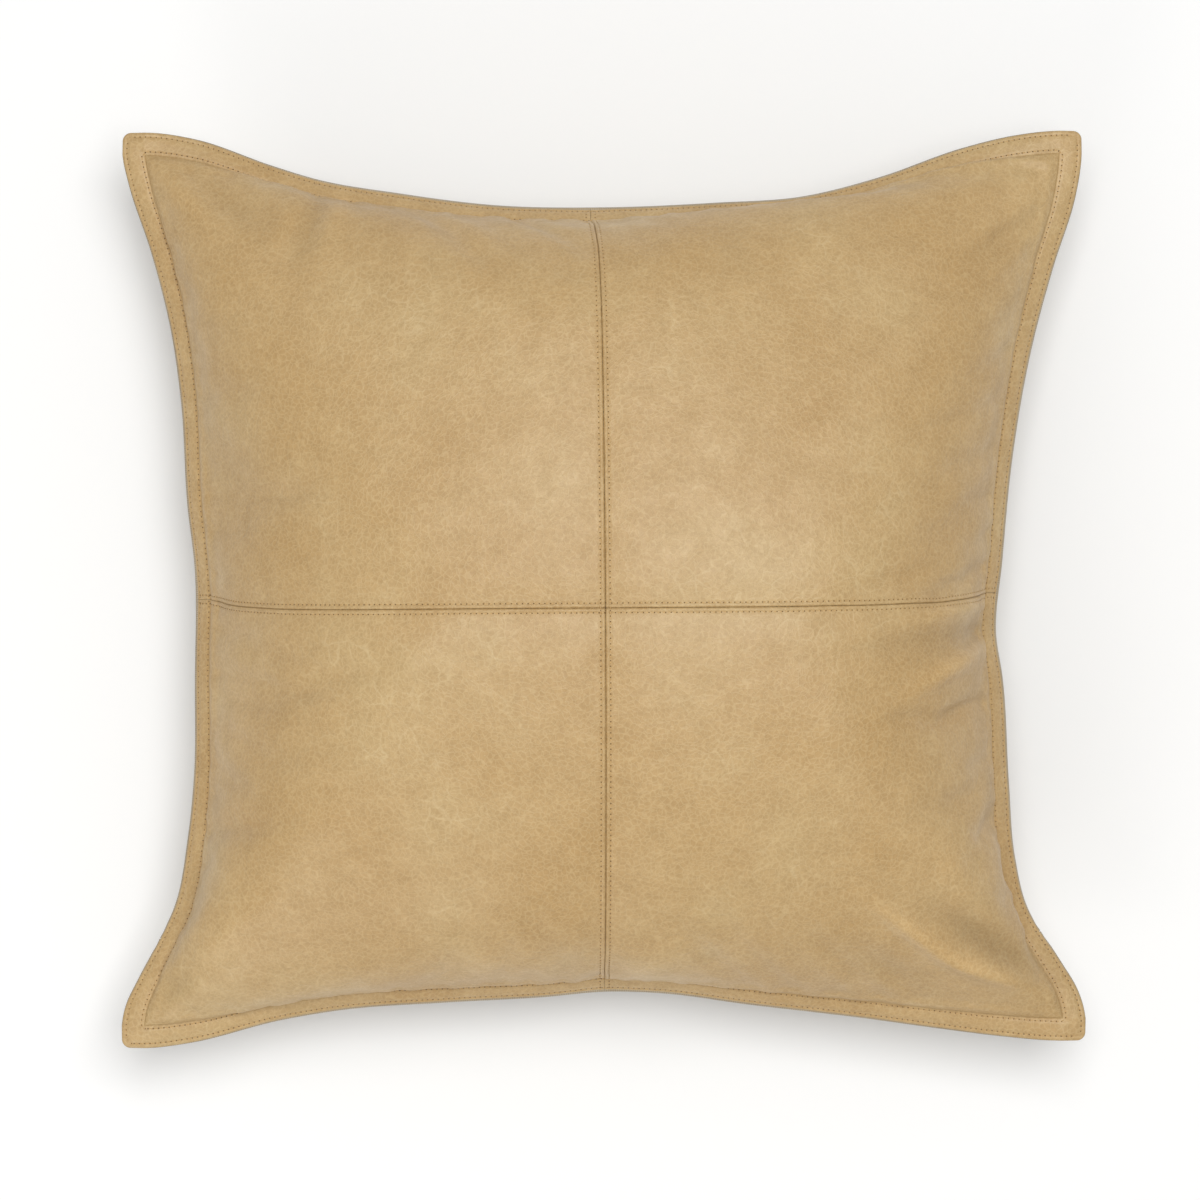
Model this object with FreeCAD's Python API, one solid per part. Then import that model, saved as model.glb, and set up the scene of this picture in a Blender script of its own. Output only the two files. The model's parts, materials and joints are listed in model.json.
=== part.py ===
import FreeCAD, Part
import math
import os

# A flanged leather throw pillow, lying on its back with its leather front facing up.
# The origin is the middle of the flat resting face, +Z is out of the front, +X is to the right
# and +Y is towards the top edge. Lengths are in millimetres.
#
# Every sewn layer is a thin skin between two spline surfaces. A place on a skin is (u, v): from 0 to 1
# it runs from the middle of the pillow to the seam where the flange begins, and from 1 to 2 it crosses
# the flat flange out to the cut edge.

# Outline, over the cut edge of the flange
HALF_WIDTH = 273.1
HALF_HEIGHT = 259.4
SAG_LEFT = 40.5
SAG_RIGHT = 46.0
SAG_TOP = 42.0
SAG_BOTTOM = 30.0
FLARE_POWER = 3.2
FLARE_SHARPNESS = 2.4

# Flange and seams
FLANGE = 12.7
FLANGE_DROOP_DEG = 50.0
CROSS_SEAM_DROP = 9.0
STITCH_TO_SEAM = 2.6
STITCH_TO_EDGE = 2.6
FLANGE_STITCH = 1.6
THREAD_WIDTH = 0.8
THREAD_PROUD = 0.25
THREAD_SUNK = 0.1
THREAD_CORNER_GAP = 0.15

# Heights and fullness
SEAM_HEIGHT = 78.0
FRONT_CROWN = 101.0
BACK_CROWN = 92.0
FULLNESS = 0.9
RESTING_STEP = 0.05
RESTING_RADIUS = 70.0

# Layers
LEATHER = 1.2
CANVAS = 0.8
PLY_GAP = 0.6
TICKING = 0.6
INSERT_GAP_FRONT = 3.0
INSERT_GAP_BACK = 9.0
FILL_GAP = 0.4
INSERT_SEAM_INSET = 4.5
LAYER_SHIFT_END = 0.94

# Zip, as half sizes across the chain where named so
ZIP_STATION = 0.70
ZIP_MARGIN = 0.02
ZIP_END_SHARE = 0.80
ZIP_HALF_LENGTH = 178.0
ZIP_PLATEAU = 1.9
PLATEAU_REACH = 0.30
PLATEAU_SHOULDER = 1.2
PLACKET_HALF = 6.5
PLACKET_CLOSED_HALF = 0.3
PLACKET_STITCH = 2.4
PLACKET_STITCH_END = 0.84
TAPE_OUTER_HALF = 11.0
TAPE_INNER_HALF = 1.3
TAPE_THICK = 0.5
TAPE_DEPTH = 2.6
TAPE_OVERRUN = 6.0
TOOTH_PITCH = 2.8
TOOTH_LENGTH = 1.0
TOOTH_HALF_SPAN = 2.9
TOOTH_SHORT = 0.5
TOOTH_THICK = 2.2
STOP_LENGTH = 3.0

# Slider and pull
SLIDER_LENGTH = 11.0
SLIDER_HALF_WIDTH = 4.6
SLIDER_WALL = 1.1
PLATE_THICK = 1.0
SLIDER_CORNER = 0.9
BLADE_HALF = 0.2
BLADE_LENGTH = 3.0
CHAIN_CLEARANCE = 0.4
BRIDGE_LENGTH = 8.0
BRIDGE_WIDTH = 1.8
BRIDGE_CLEAR = 2.8
BRIDGE_THICK = 1.2
BRIDGE_ROUND = 1.08
PIVOT_RADIUS = 0.8
PULL_THICK = 1.4
EYE_LENGTH = 6.0
EYE_HALF_WIDTH = 3.2
EYE_ARM = 1.1
PULL_LENGTH = 24.0
PULL_HALF_WIDTH = 3.6
PULL_CORNER = 2.4
GRIP_HOLE_RADIUS = 1.3
SLIDER_PARK = 9.0

CROWN_STATIONS = [0.09, 0.18, 0.27, 0.36, 0.45, 0.54, 0.62, 0.70, 0.77, 0.84, 0.89, 0.94, 0.98]
FLANGE_STATIONS = [1.03, 1.12, 1.5, 2.0]
SMALL_STEP = 0.01
TOLERANCE = 0.001
EDGE_REACH = 0.01
NEARLY_ONE = 0.99
QUARTER_TURN = math.pi / 2.0


def flare(s):
    """How far a side is pulled in at s, from 0 at its corners (s = 1) to 1 at its middle."""
    return max(0.0, 1.0 - abs(s) ** FLARE_POWER) ** FLARE_SHARPNESS


def crown_share(u):
    """The share of the way from the middle to the seam, spaced so that the walls stand up steeply."""
    return math.sin(QUARTER_TURN * min(abs(u), 1.0))


def flange_share(u):
    return max(abs(u) - 1.0, 0.0)


def ramp(value, low, high):
    """0 below low, 1 above high and even between."""
    return min(1.0, max(0.0, (value - low) / (high - low)))


def height_share(u):
    return max(math.cos(QUARTER_TURN * min(abs(u), 1.0)), 0.0) ** FULLNESS


def along_side(u, half):
    """Where a point lies along its side, as a share of the half length, 1 at the corner."""
    rim = FLANGE / half
    return crown_share(u) * (1.0 - rim) + flange_share(u) * rim


def reach(u, v, half, other_half, sags, inset, straight):
    """Signed distance from the centre line to the point, across the pillow.

    The lines across a panel follow the pulled-in side more and more on the way out to it. With
    straight set, they stay level as far out as the zip, except near their own ends.
    """
    sag = sags[1] if u >= 0 else sags[0]
    pulled = flare(along_side(v, other_half))
    tilt = math.radians(FLANGE_DROOP_DEG)
    flat_run = FLANGE * math.cos(tilt * pulled)
    middle = half - sag - FLANGE * math.cos(tilt)
    seam = half - sag * pulled - flat_run
    share = crown_share(u)
    blend = share
    if straight:
        start = crown_share(ZIP_STATION) + ZIP_MARGIN
        level = ramp(share, start, 1.0)
        blend = level + (share - level) * ramp(crown_share(v), ZIP_END_SHARE, 1.0)
    line = middle + (seam - middle) * blend
    return math.copysign(share * (line - inset) + flange_share(u) * flat_run, u)


def layer_shift(u, depth):
    """How far in a layer's inner surface stands from its outer one: less and less near the seam."""
    return depth * (1.0 - ramp(abs(u), LAYER_SHIFT_END, 1.0))


def droop(u, v):
    """How far the flange hangs below the seam: most in the middle of each side, nothing at the corners."""
    side = math.radians(FLANGE_DROOP_DEG)
    over_x = flange_share(u) * math.sin(side * flare(along_side(v, HALF_HEIGHT)))
    over_y = flange_share(v) * math.sin(side * flare(along_side(u, HALF_WIDTH)))
    return FLANGE * (over_x + over_y)


def front_point(u, v, depth):
    """A point of the leather front, depth below its outer surface."""
    x = reach(u, v, HALF_WIDTH, HALF_HEIGHT, (SAG_LEFT, SAG_RIGHT), layer_shift(u, depth), False)
    y = reach(v, u, HALF_HEIGHT, HALF_WIDTH, (SAG_BOTTOM, SAG_TOP), layer_shift(v, depth), False)
    base = SEAM_HEIGHT + PLY_GAP / 2.0 + LEATHER - depth
    z = base + FRONT_CROWN * height_share(u) * height_share(v) - droop(u, v)
    return FreeCAD.Vector(x, y, z)


def back_height_share(u, v):
    """The back's fullness, held level along the zip so that the zip is straight."""
    near = max(0.0, 1.0 - (abs(v + ZIP_STATION) / PLATEAU_REACH) ** 2)
    near = min(1.0, near * PLATEAU_SHOULDER)
    plain = height_share(u)
    level = min(1.0, ZIP_PLATEAU * plain)
    return (plain + (level - plain) * near) * height_share(v)


def back_point(u, v, depth):
    """A point of the canvas back, depth inside its outer surface."""
    x = reach(u, v, HALF_WIDTH, HALF_HEIGHT, (SAG_LEFT, SAG_RIGHT), layer_shift(u, depth), False)
    y = reach(v, u, HALF_HEIGHT, HALF_WIDTH, (SAG_BOTTOM, SAG_TOP), layer_shift(v, depth), True)
    base = SEAM_HEIGHT - PLY_GAP / 2.0 - CANVAS
    z = base + depth - BACK_CROWN * back_height_share(u, v) - droop(u, v)
    return FreeCAD.Vector(x, y, max(z, RESTING_STEP + depth))


def insert_point(u, v, inset, face):
    """A point of the insert, which is the cover's shape without the flange, pulled in all round."""
    rim = INSERT_SEAM_INSET + inset
    x = reach(u, v, HALF_WIDTH, HALF_HEIGHT, (SAG_LEFT, SAG_RIGHT), rim, False)
    y = reach(v, u, HALF_HEIGHT, HALF_WIDTH, (SAG_BOTTOM, SAG_TOP), rim, True)
    if face > 0:
        crown = FRONT_CROWN - INSERT_GAP_FRONT - inset
        z = SEAM_HEIGHT + crown * height_share(u) * height_share(v)
    else:
        crown = BACK_CROWN - INSERT_GAP_BACK - inset
        floor = INSERT_GAP_BACK + inset
        z = max(SEAM_HEIGHT - crown * back_height_share(u, v), floor)
    return FreeCAD.Vector(x, y, z)


def spline_face(rows):
    """A cubic surface held by a grid of poles."""

    def knots(count):
        spans = count - 3
        inner = [float(i) for i in range(spans + 1)]
        return inner, [4] + [1] * (spans - 1) + [4]

    u_knots, u_mults = knots(len(rows))
    v_knots, v_mults = knots(len(rows[0]))
    surface = Part.BSplineSurface()
    surface.buildFromPolesMultsKnots(rows, u_mults, v_mults, u_knots, v_knots, False, False, 3, 3)
    return surface


def edges_of(surface):
    """The surface's four border curves, as edges."""
    u0, u1, v0, v1 = surface.bounds()
    curves = [surface.uIso(u0), surface.uIso(u1), surface.vIso(v0), surface.vIso(v1)]
    return [curve.toShape() for curve in curves]


def solid_from(faces):
    shell = Part.makeShell(faces)
    shell.sewShape()
    solid = Part.makeSolid(shell)
    solid.fix(TOLERANCE, TOLERANCE, TOLERANCE)
    if solid.Volume < 0:
        solid.reverse()
    assert solid.isValid(), "a sewn layer isn't a valid solid"
    return solid


def layer(us, vs, outer, inner):
    """A solid layer between two surfaces over the same stations."""
    top = spline_face([[outer(u, v) for v in vs] for u in us])
    bottom = spline_face([[inner(u, v) for v in vs] for u in us])
    sides = [Part.makeRuledSurface(a, b) for a, b in zip(edges_of(top), edges_of(bottom))]
    return solid_from([top.toShape(), bottom.toShape()] + sides)


def mirrored(stations):
    return [-s for s in reversed(stations)] + [0.0] + list(stations)


def half_stations(side, start):
    """Stations from a seam near the middle out to one cut edge."""
    outward = [side * s for s in CROWN_STATIONS + FLANGE_STATIONS]
    return sorted([start] + outward)


def seam_station():
    """The station of the level seam, which runs a little below the middle."""
    middle = HALF_HEIGHT - SAG_BOTTOM - FLANGE * math.cos(math.radians(FLANGE_DROOP_DEG))
    return -math.asin(CROSS_SEAM_DROP / middle) / QUARTER_TURN


def front_panels():
    """Four leather panels that meet at the crossed seams, flange included."""
    panels = {}
    for row, v_side in (("top", 1), ("bottom", -1)):
        vs = half_stations(v_side, seam_station())
        for column, u_side in (("left", -1), ("right", 1)):
            us = half_stations(u_side, 0.0)
            panels[f"front_panel_{row}_{column}"] = layer(
                us, vs, lambda u, v: front_point(u, v, 0.0), lambda u, v: front_point(u, v, LEATHER)
            )
    return panels


def placket_station(u, side):
    """The station of a back panel's edge beside the zip: open along the zip, closed past its ends."""
    x = abs(back_point(u, -ZIP_STATION, 0.0).x)
    closing = min(1.0, max(0.0, (x - ZIP_HALF_LENGTH - TAPE_OVERRUN) / PLACKET_HALF))
    half = PLACKET_HALF + (PLACKET_CLOSED_HALF - PLACKET_HALF) * closing
    return -ZIP_STATION + side * half / station_size()


def station_size():
    """How many millimetres of cloth one unit of v is, at the zip."""
    near = back_point(0.0, -ZIP_STATION + SMALL_STEP, 0.0)
    far = back_point(0.0, -ZIP_STATION - SMALL_STEP, 0.0)
    return near.distanceToPoint(far) / (2.0 * SMALL_STEP)


def back_panel(edge_side, vs_beyond):
    """One canvas back panel, from its edge beside the zip out to the cut edge.

    The main panel, on the upper side of the zip, also has the flat round patch that the pillow rests on.
    """
    us = mirrored(CROWN_STATIONS + FLANGE_STATIONS)

    def row_point(u, v, depth):
        at = placket_station(u, edge_side) if v == -ZIP_STATION else v
        return back_point(u, at, depth)

    vs = sorted([-ZIP_STATION] + vs_beyond)
    panel = layer(us, vs, lambda u, v: row_point(u, v, 0.0), lambda u, v: row_point(u, v, CANVAS))
    if edge_side < 0:
        return panel
    resting = Part.makeCylinder(RESTING_RADIUS, CANVAS)
    return panel.fuse(resting).removeSplitter().Solids[0]


def back_panels():
    half = PLACKET_HALF / station_size()
    outward = CROWN_STATIONS + FLANGE_STATIONS
    above = [-s for s in CROWN_STATIONS if s < ZIP_STATION - half] + outward
    beyond = [-s for s in outward if s > ZIP_STATION + half]
    return {"back_panel_main": back_panel(1, above), "back_panel_zip_strip": back_panel(-1, beyond)}


def thread_on(place, us, vs):
    """A sewing thread lying on a surface, as a narrow ribbon over the given stations."""
    return layer(us, vs, lambda u, v: place(u, v, -THREAD_PROUD), lambda u, v: place(u, v, THREAD_SUNK))


def across(middle, size):
    """Four stations across a thread whose middle is at a station."""
    half = THREAD_WIDTH / 2.0 / size
    return [middle - half, middle - half / 3.0, middle + half / 3.0, middle + half]


def cross_seam_threads():
    """Two topstitch rows, one each side, along the upright seam and along the level seam."""
    x_size = front_point(SMALL_STEP, 0.0, 0.0).x / SMALL_STEP
    y_size = front_point(0.0, SMALL_STEP, 0.0).y / SMALL_STEP
    long_run = mirrored(CROWN_STATIONS + FLANGE_STATIONS)
    upright = [
        thread_on(front_point, across(side * STITCH_TO_SEAM / x_size, x_size), long_run) for side in (-1, 1)
    ]
    level = [
        thread_on(front_point, long_run, across(seam_station() + side * STITCH_TO_SEAM / y_size, y_size))
        for side in (-1, 1)
    ]
    return {"thread_upright_seam": Part.makeCompound(upright), "thread_level_seam": Part.makeCompound(level)}


def flange_thread(place, station):
    """One stitch row round all four sides of the flange."""
    end = station - THREAD_CORNER_GAP
    stations = mirrored(CROWN_STATIONS + FLANGE_STATIONS)
    run = [-end] + [s for s in stations if abs(s) < end - SMALL_STEP] + [end]
    row = across(station, FLANGE)
    other = [-s for s in reversed(row)]
    sides = [(run, row), (run, other), (row, run), (other, run)]
    return [thread_on(place, us, vs) for us, vs in sides]


def flange_threads():
    """The seam row that closes the cover and the row beside the cut edge, seen on both faces."""
    seam_row = 1.0 + FLANGE_STITCH / FLANGE
    edge_row = 2.0 - STITCH_TO_EDGE / FLANGE
    threads = {}
    for name, station in (("thread_flange_seam", seam_row), ("thread_flange_edge", edge_row)):
        for face, place in (("front", front_point), ("back", back_point)):
            threads[f"{name}_{face}"] = Part.makeCompound(flange_thread(place, station))
    return threads


def insert_layers():
    """The inner pillow: two ticking shells sewn at their rim, and the fibre fill inside them."""
    stations = mirrored(CROWN_STATIONS + [1.0])
    shells = {}
    for name, face in (("front", 1), ("back", -1)):
        lift = FreeCAD.Vector(0, 0, face * PLY_GAP / 2.0)
        shell = layer(
            stations,
            stations,
            lambda u, v, f=face: insert_point(u, v, 0.0, f),
            lambda u, v, f=face: insert_point(u, v, TICKING, f),
        )
        shells[f"insert_ticking_{name}"] = shell.translated(lift)
    inset = TICKING + FILL_GAP
    faces = []
    for face in (1, -1):
        rows = [[insert_point(u, v, inset, face) for v in stations] for u in stations]
        faces.append(spline_face(rows).toShape())
    shells["insert_fibre_fill"] = solid_from(faces)
    return shells


def zip_frame():
    """The zip's own axes: x along the chain, y towards the bottom edge, z out of the back."""
    main = back_point(0.0, placket_station(0.0, 1), 0.0)
    strip = back_point(0.0, placket_station(0.0, -1), 0.0)
    along = FreeCAD.Vector(1, 0, 0)
    over = strip.sub(main)
    over.normalize()
    out = along.cross(over)
    middle = main.add(strip).multiply(0.5)
    turn = FreeCAD.Rotation(along, over, out, "XYZ")
    return FreeCAD.Placement(middle, turn)


def block(x0, x1, y0, y1, z0, z1):
    return Part.makeBox(x1 - x0, y1 - y0, z1 - z0, FreeCAD.Vector(x0, y0, z0))


def zip_tape(side):
    half = ZIP_HALF_LENGTH + TAPE_OVERRUN
    y0, y1 = sorted((side * TAPE_INNER_HALF, side * TAPE_OUTER_HALF))
    return block(-half, half, y0, y1, -TAPE_DEPTH - TAPE_THICK / 2.0, -TAPE_DEPTH + TAPE_THICK / 2.0)


def zip_teeth(side):
    """One row of brass teeth, clamped on the edge of its tape and stopping beside the guide blade's path."""
    free = ZIP_HALF_LENGTH - STOP_LENGTH - TOOTH_PITCH
    count = int(2.0 * free / TOOTH_PITCH)
    start = -free + (0.0 if side < 0 else TOOTH_PITCH / 2.0)
    y0, y1 = sorted((side * TOOTH_HALF_SPAN, side * TOOTH_SHORT))
    z0 = -TAPE_DEPTH - TOOTH_THICK / 2.0
    teeth = []
    for i in range(count):
        x0 = start + i * TOOTH_PITCH
        teeth.append(block(x0, x0 + TOOTH_LENGTH, y0, y1, z0, z0 + TOOTH_THICK))
    return Part.makeCompound(teeth)


def zip_stops():
    """Two top stops, one on each tape at the closed end, and the bottom stop that holds both tapes."""
    z0 = -TAPE_DEPTH - TOOTH_THICK / 2.0
    z1 = z0 + TOOTH_THICK
    end = ZIP_HALF_LENGTH
    tops = []
    for side in (-1, 1):
        y0, y1 = sorted((side * TOOTH_SHORT, side * TOOTH_HALF_SPAN))
        tops.append(block(end - STOP_LENGTH, end, y0, y1, z0, z1))
    bottom = block(-end, -end + STOP_LENGTH, -TOOTH_HALF_SPAN, TOOTH_HALF_SPAN, z0, z1)
    return {"zip_top_stops": Part.makeCompound(tops), "zip_bottom_stop": bottom}


def slider_heights():
    """Where the slider's channel ends, and the top of its outer plate."""
    low = -TAPE_DEPTH - TOOTH_THICK / 2.0 - CHAIN_CLEARANCE
    high = -TAPE_DEPTH + TOOTH_THICK / 2.0 + CHAIN_CLEARANCE
    return low, high, high + PLATE_THICK


def guide_blade():
    """The blade between the slider's plates. It is thin, because the chain stays closed beside it."""
    low, high, _ = slider_heights()
    start = -SLIDER_LENGTH / 2.0
    return block(start, start + BLADE_LENGTH, -BLADE_HALF, BLADE_HALF, low, high)


def bridge():
    """The arch over the slider's outer plate that the pull hangs on."""
    _, _, top = slider_heights()
    long_half = BRIDGE_LENGTH / 2.0
    wide_half = BRIDGE_WIDTH / 2.0
    crest = top + BRIDGE_CLEAR + BRIDGE_THICK
    arch = block(-long_half, long_half, -wide_half, wide_half, top - PLATE_THICK / 2.0, crest)
    at_ends = [e for e in arch.Edges if abs(e.CenterOfMass.x) > long_half - EDGE_REACH]
    shoulders = [e for e in at_ends if e.CenterOfMass.z > crest - EDGE_REACH]
    arch = arch.makeFillet(BRIDGE_ROUND, shoulders)
    inner = long_half - BRIDGE_THICK
    return arch.cut(block(-inner, inner, -wide_half, wide_half, top, top + BRIDGE_CLEAR))


def zip_slider():
    """The slider: two plates and two walls round the chain, joined by the guide blade."""
    low, high, top = slider_heights()
    half = SLIDER_LENGTH / 2.0
    wide = SLIDER_HALF_WIDTH
    body = block(-half, half, -wide, wide, low - PLATE_THICK, top)
    upright = [e for e in body.Edges if abs(e.tangentAt(e.FirstParameter).z) > NEARLY_ONE]
    body = body.makeFillet(SLIDER_CORNER, upright)
    inside = wide - SLIDER_WALL
    slot = TAPE_THICK / 2.0 + CHAIN_CLEARANCE
    body = body.cut(block(-half, half, -inside, inside, low, high))
    body = body.cut(block(-half, half, -wide, wide, -TAPE_DEPTH - slot, -TAPE_DEPTH + slot))
    return body.fuse([guide_blade(), bridge()]).removeSplitter()


def zip_pull():
    """The pull tab, hanging straight out from the bridge on the bar of its eye."""
    _, _, top = slider_heights()
    pivot = top + BRIDGE_CLEAR / 2.0
    thick = PULL_THICK / 2.0
    tab = block(-thick, thick, -PULL_HALF_WIDTH, PULL_HALF_WIDTH, pivot, pivot + PULL_LENGTH)
    at_tip = [e for e in tab.Edges if e.CenterOfMass.z > pivot + PULL_LENGTH - EDGE_REACH]
    corners = [e for e in at_tip if abs(e.CenterOfMass.x) < EDGE_REACH]
    tab = tab.makeFillet(PULL_CORNER, corners)
    eye = EYE_HALF_WIDTH - EYE_ARM
    tab = tab.cut(block(-thick, thick, -eye, eye, pivot, pivot + EYE_LENGTH))
    waist_end = pivot + EYE_LENGTH
    for side in (-1, 1):
        y0, y1 = sorted((side * EYE_HALF_WIDTH, side * PULL_HALF_WIDTH))
        tab = tab.cut(block(-thick, thick, y0, y1, pivot, waist_end))
    bar = Part.makeCylinder(
        PIVOT_RADIUS, 2.0 * EYE_HALF_WIDTH, FreeCAD.Vector(0, -EYE_HALF_WIDTH, pivot), FreeCAD.Vector(0, 1, 0)
    )
    grip = Part.makeCylinder(
        GRIP_HOLE_RADIUS,
        4.0 * thick,
        FreeCAD.Vector(-2.0 * thick, 0, pivot + PULL_LENGTH - PULL_HALF_WIDTH),
        FreeCAD.Vector(1, 0, 0),
    )
    return tab.fuse(bar).cut(grip).removeSplitter()


def zip_parts():
    """The zip, built along its own axes and then set into the opening in the back."""
    parts = {}
    for name, side in (("main_side", -1), ("strip_side", 1)):
        parts[f"zip_tape_{name}"] = zip_tape(side)
        parts[f"zip_teeth_{name}"] = zip_teeth(side)
    parts.update(zip_stops())
    parked = FreeCAD.Vector(ZIP_HALF_LENGTH - SLIDER_PARK, 0, 0)
    parts["zip_slider_body"] = zip_slider().translated(parked)
    parts["zip_pull_tab"] = zip_pull().translated(parked)
    place = zip_frame().toMatrix()
    return {name: shape.transformed(place) for name, shape in parts.items()}


def zip_threads():
    """The row that sews each back panel to its tape."""
    run = [s for s in mirrored(CROWN_STATIONS) if abs(s) < PLACKET_STITCH_END]
    threads = {}
    for name, side in (("main", 1), ("strip", -1)):
        middle = -ZIP_STATION + side * (PLACKET_HALF + PLACKET_STITCH) / station_size()
        threads[f"thread_zip_{name}"] = thread_on(back_point, run, across(middle, station_size()))
    return threads


def build():
    parts = {}
    parts.update(front_panels())
    parts.update(back_panels())
    parts.update(insert_layers())
    parts.update(zip_parts())
    parts.update(cross_seam_threads())
    parts.update(flange_threads())
    parts.update(zip_threads())
    return parts


def main():
    os.makedirs("parts", exist_ok=True)
    for name, shape in build().items():
        shape.exportStep(f"parts/{name}.step")
        box = shape.BoundBox
        size = f"{box.XLength:.1f} x {box.YLength:.1f} x {box.ZLength:.1f} mm"
        print(f"{name}: {len(shape.Solids)} solids, {shape.Volume:.0f} mm3, {size}")
    _, _, top = slider_heights()
    place = zip_frame()
    hinge = FreeCAD.Vector(ZIP_HALF_LENGTH - SLIDER_PARK, 0, top + BRIDGE_CLEAR / 2.0)
    print("the pull's hinge is at", place.multVec(hinge))
    print("its axis is", place.Rotation.multVec(FreeCAD.Vector(0, 1, 0)))


main()
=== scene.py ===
# %% [markdown]
# # A flanged leather throw pillow
# The frame holds the pillow's real sizes: four leather panels, a canvas back, a zip and an insert.
# This lesson gives each of those pieces its looks. Everything is in metres, and the pillow lies on
# its back with the leather facing up, so +Z comes out of the front and +Y points at its top edge.

# %% Load the frame
import json
import math
import bpy
import numpy as np
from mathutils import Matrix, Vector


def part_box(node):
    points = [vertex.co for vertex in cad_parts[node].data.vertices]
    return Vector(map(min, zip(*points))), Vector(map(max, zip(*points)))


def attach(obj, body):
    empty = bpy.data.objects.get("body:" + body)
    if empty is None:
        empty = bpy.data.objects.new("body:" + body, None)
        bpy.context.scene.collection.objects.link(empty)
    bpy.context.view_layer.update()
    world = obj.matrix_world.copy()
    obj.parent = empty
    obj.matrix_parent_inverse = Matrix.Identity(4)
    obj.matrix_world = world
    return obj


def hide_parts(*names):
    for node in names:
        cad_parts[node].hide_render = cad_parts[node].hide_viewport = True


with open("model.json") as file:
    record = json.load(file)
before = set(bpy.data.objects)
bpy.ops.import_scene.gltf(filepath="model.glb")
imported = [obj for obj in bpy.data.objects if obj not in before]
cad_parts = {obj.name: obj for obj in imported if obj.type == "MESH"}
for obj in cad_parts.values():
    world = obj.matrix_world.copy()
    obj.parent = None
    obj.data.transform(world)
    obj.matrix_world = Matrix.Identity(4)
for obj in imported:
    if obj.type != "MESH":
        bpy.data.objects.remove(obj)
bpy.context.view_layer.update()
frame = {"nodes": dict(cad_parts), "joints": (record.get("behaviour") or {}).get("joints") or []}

MM = 0.001

# %% [markdown]
# ## Camera, lamps and floor
# A pillow that lies flat shows its outline best from straight above. A long lens a couple of
# metres away keeps the corners true. Leather shows its shape by its sheen, so the light is one broad
# soft source overhead with a weaker one at the foot, and the white room fills in the rest.

# %% Camera, lamps and floor
PILLOW_MIDDLE = (-2.1 * MM, -6.0 * MM)
VIEW_WIDTH = 678.0 * MM
CAMERA_DISTANCE = 2.2
SENSOR = 36.0
SEAM_HEIGHT = 78.0 * MM
WHITE = (1.0, 1.0, 1.0, 1.0)
ROOM_STRENGTH = 0.45

camera = bpy.data.objects.new("camera", bpy.data.cameras.new("camera"))
camera.data.sensor_width = SENSOR
camera.data.lens = SENSOR * CAMERA_DISTANCE / VIEW_WIDTH
camera.location = (*PILLOW_MIDDLE, SEAM_HEIGHT + CAMERA_DISTANCE)
bpy.context.scene.collection.objects.link(camera)
bpy.context.scene.camera = camera


def softbox(name, place, size, power, aim=(0.0, 0.0, 0.08)):
    """A square area lamp that looks at the pillow."""
    lamp = bpy.data.lights.new(name, "AREA")
    lamp.shape = "SQUARE"
    lamp.size = size
    lamp.energy = power
    holder = bpy.data.objects.new(name, lamp)
    holder.location = place
    direction = np.array(aim) - np.array(place)
    yaw = math.atan2(direction[0], -direction[1])
    tilt = math.acos(-direction[2] / np.linalg.norm(direction))
    holder.rotation_euler = (tilt, 0.0, yaw + math.pi)
    bpy.context.scene.collection.objects.link(holder)
    return holder


softbox("overhead_softbox", (0.25, 0.5, 2.9), 1.6, 55.0)
softbox("foot_softbox", (-0.85, -1.6, 1.1), 1.0, 9.0)

world = bpy.data.worlds.new("white_room")
world.use_nodes = True
world.node_tree.nodes["Background"].inputs["Color"].default_value = WHITE
world.node_tree.nodes["Background"].inputs["Strength"].default_value = ROOM_STRENGTH
bpy.context.scene.world = world
bpy.context.scene.view_settings.view_transform = "Standard"
print("camera lens:", round(camera.data.lens, 1), "mm")

# %% [markdown]
# ## The outline
# A filled cover pulls its sides in between its corners. Each side is measured as how far the cut edge
# stands in from the straight line between its two corners. A handful of points per side is enough,
# because a smooth curve runs through them. The flange is 12.7 mm (half an inch) wide: flat at the
# corners, and rolled back in the middle of each side, where the full body pulls it down.

# %% The outline
FLANGE = 12.7 * MM
FLANGE_ROLL = math.radians(50.0)
ROLL_FULLNESS = 0.7
CORNERS = {
    "top_left": (-272.0, 258.3),
    "top_right": (270.0, 259.4),
    "bottom_left": (-273.1, -259.4),
    "bottom_right": (272.7, -255.2),
}
# Each side: (share of the way along it, millimetres in from the straight line)
PULLED_IN = {
    "top": [(0, 0), (0.035, 0), (0.076, 3.6), (0.155, 18.5), (0.20, 26), (0.288, 34.3), (0.39, 41.2),
            (0.50, 42.5), (0.62, 40), (0.71, 36.6), (0.79, 25.9), (0.876, 9.6), (0.93, 2.6),
            (0.965, 0.3), (1, 0)],
    "right": [(0, 0), (0.03, 0), (0.071, 3.3), (0.148, 15.9), (0.229, 27.4), (0.351, 39.1), (0.472, 45.7),
              (0.555, 49.4), (0.60, 46), (0.72, 42.6), (0.80, 39.4), (0.857, 32.1), (0.911, 14.8),
              (0.945, 4.4), (0.97, 0.6), (1, 0)],
    "bottom": [(0, 0), (0.035, 0), (0.071, 2.5), (0.164, 14.8), (0.22, 19.8), (0.341, 24.2), (0.44, 26.8),
               (0.50, 29.5), (0.56, 28.4), (0.65, 21.7), (0.773, 13.3), (0.842, 7.9), (0.91, 3.0),
               (0.96, 0.4), (1, 0)],
    "left": [(0, 0), (0.025, 0), (0.054, 3.2), (0.131, 16.3), (0.215, 27.3), (0.291, 33), (0.41, 37),
             (0.47, 40.8), (0.60, 41.3), (0.70, 41), (0.77, 37.6), (0.852, 29), (0.888, 20),
             (0.925, 9.8), (0.955, 2.6), (0.98, 0.4), (1, 0)],
}
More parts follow.
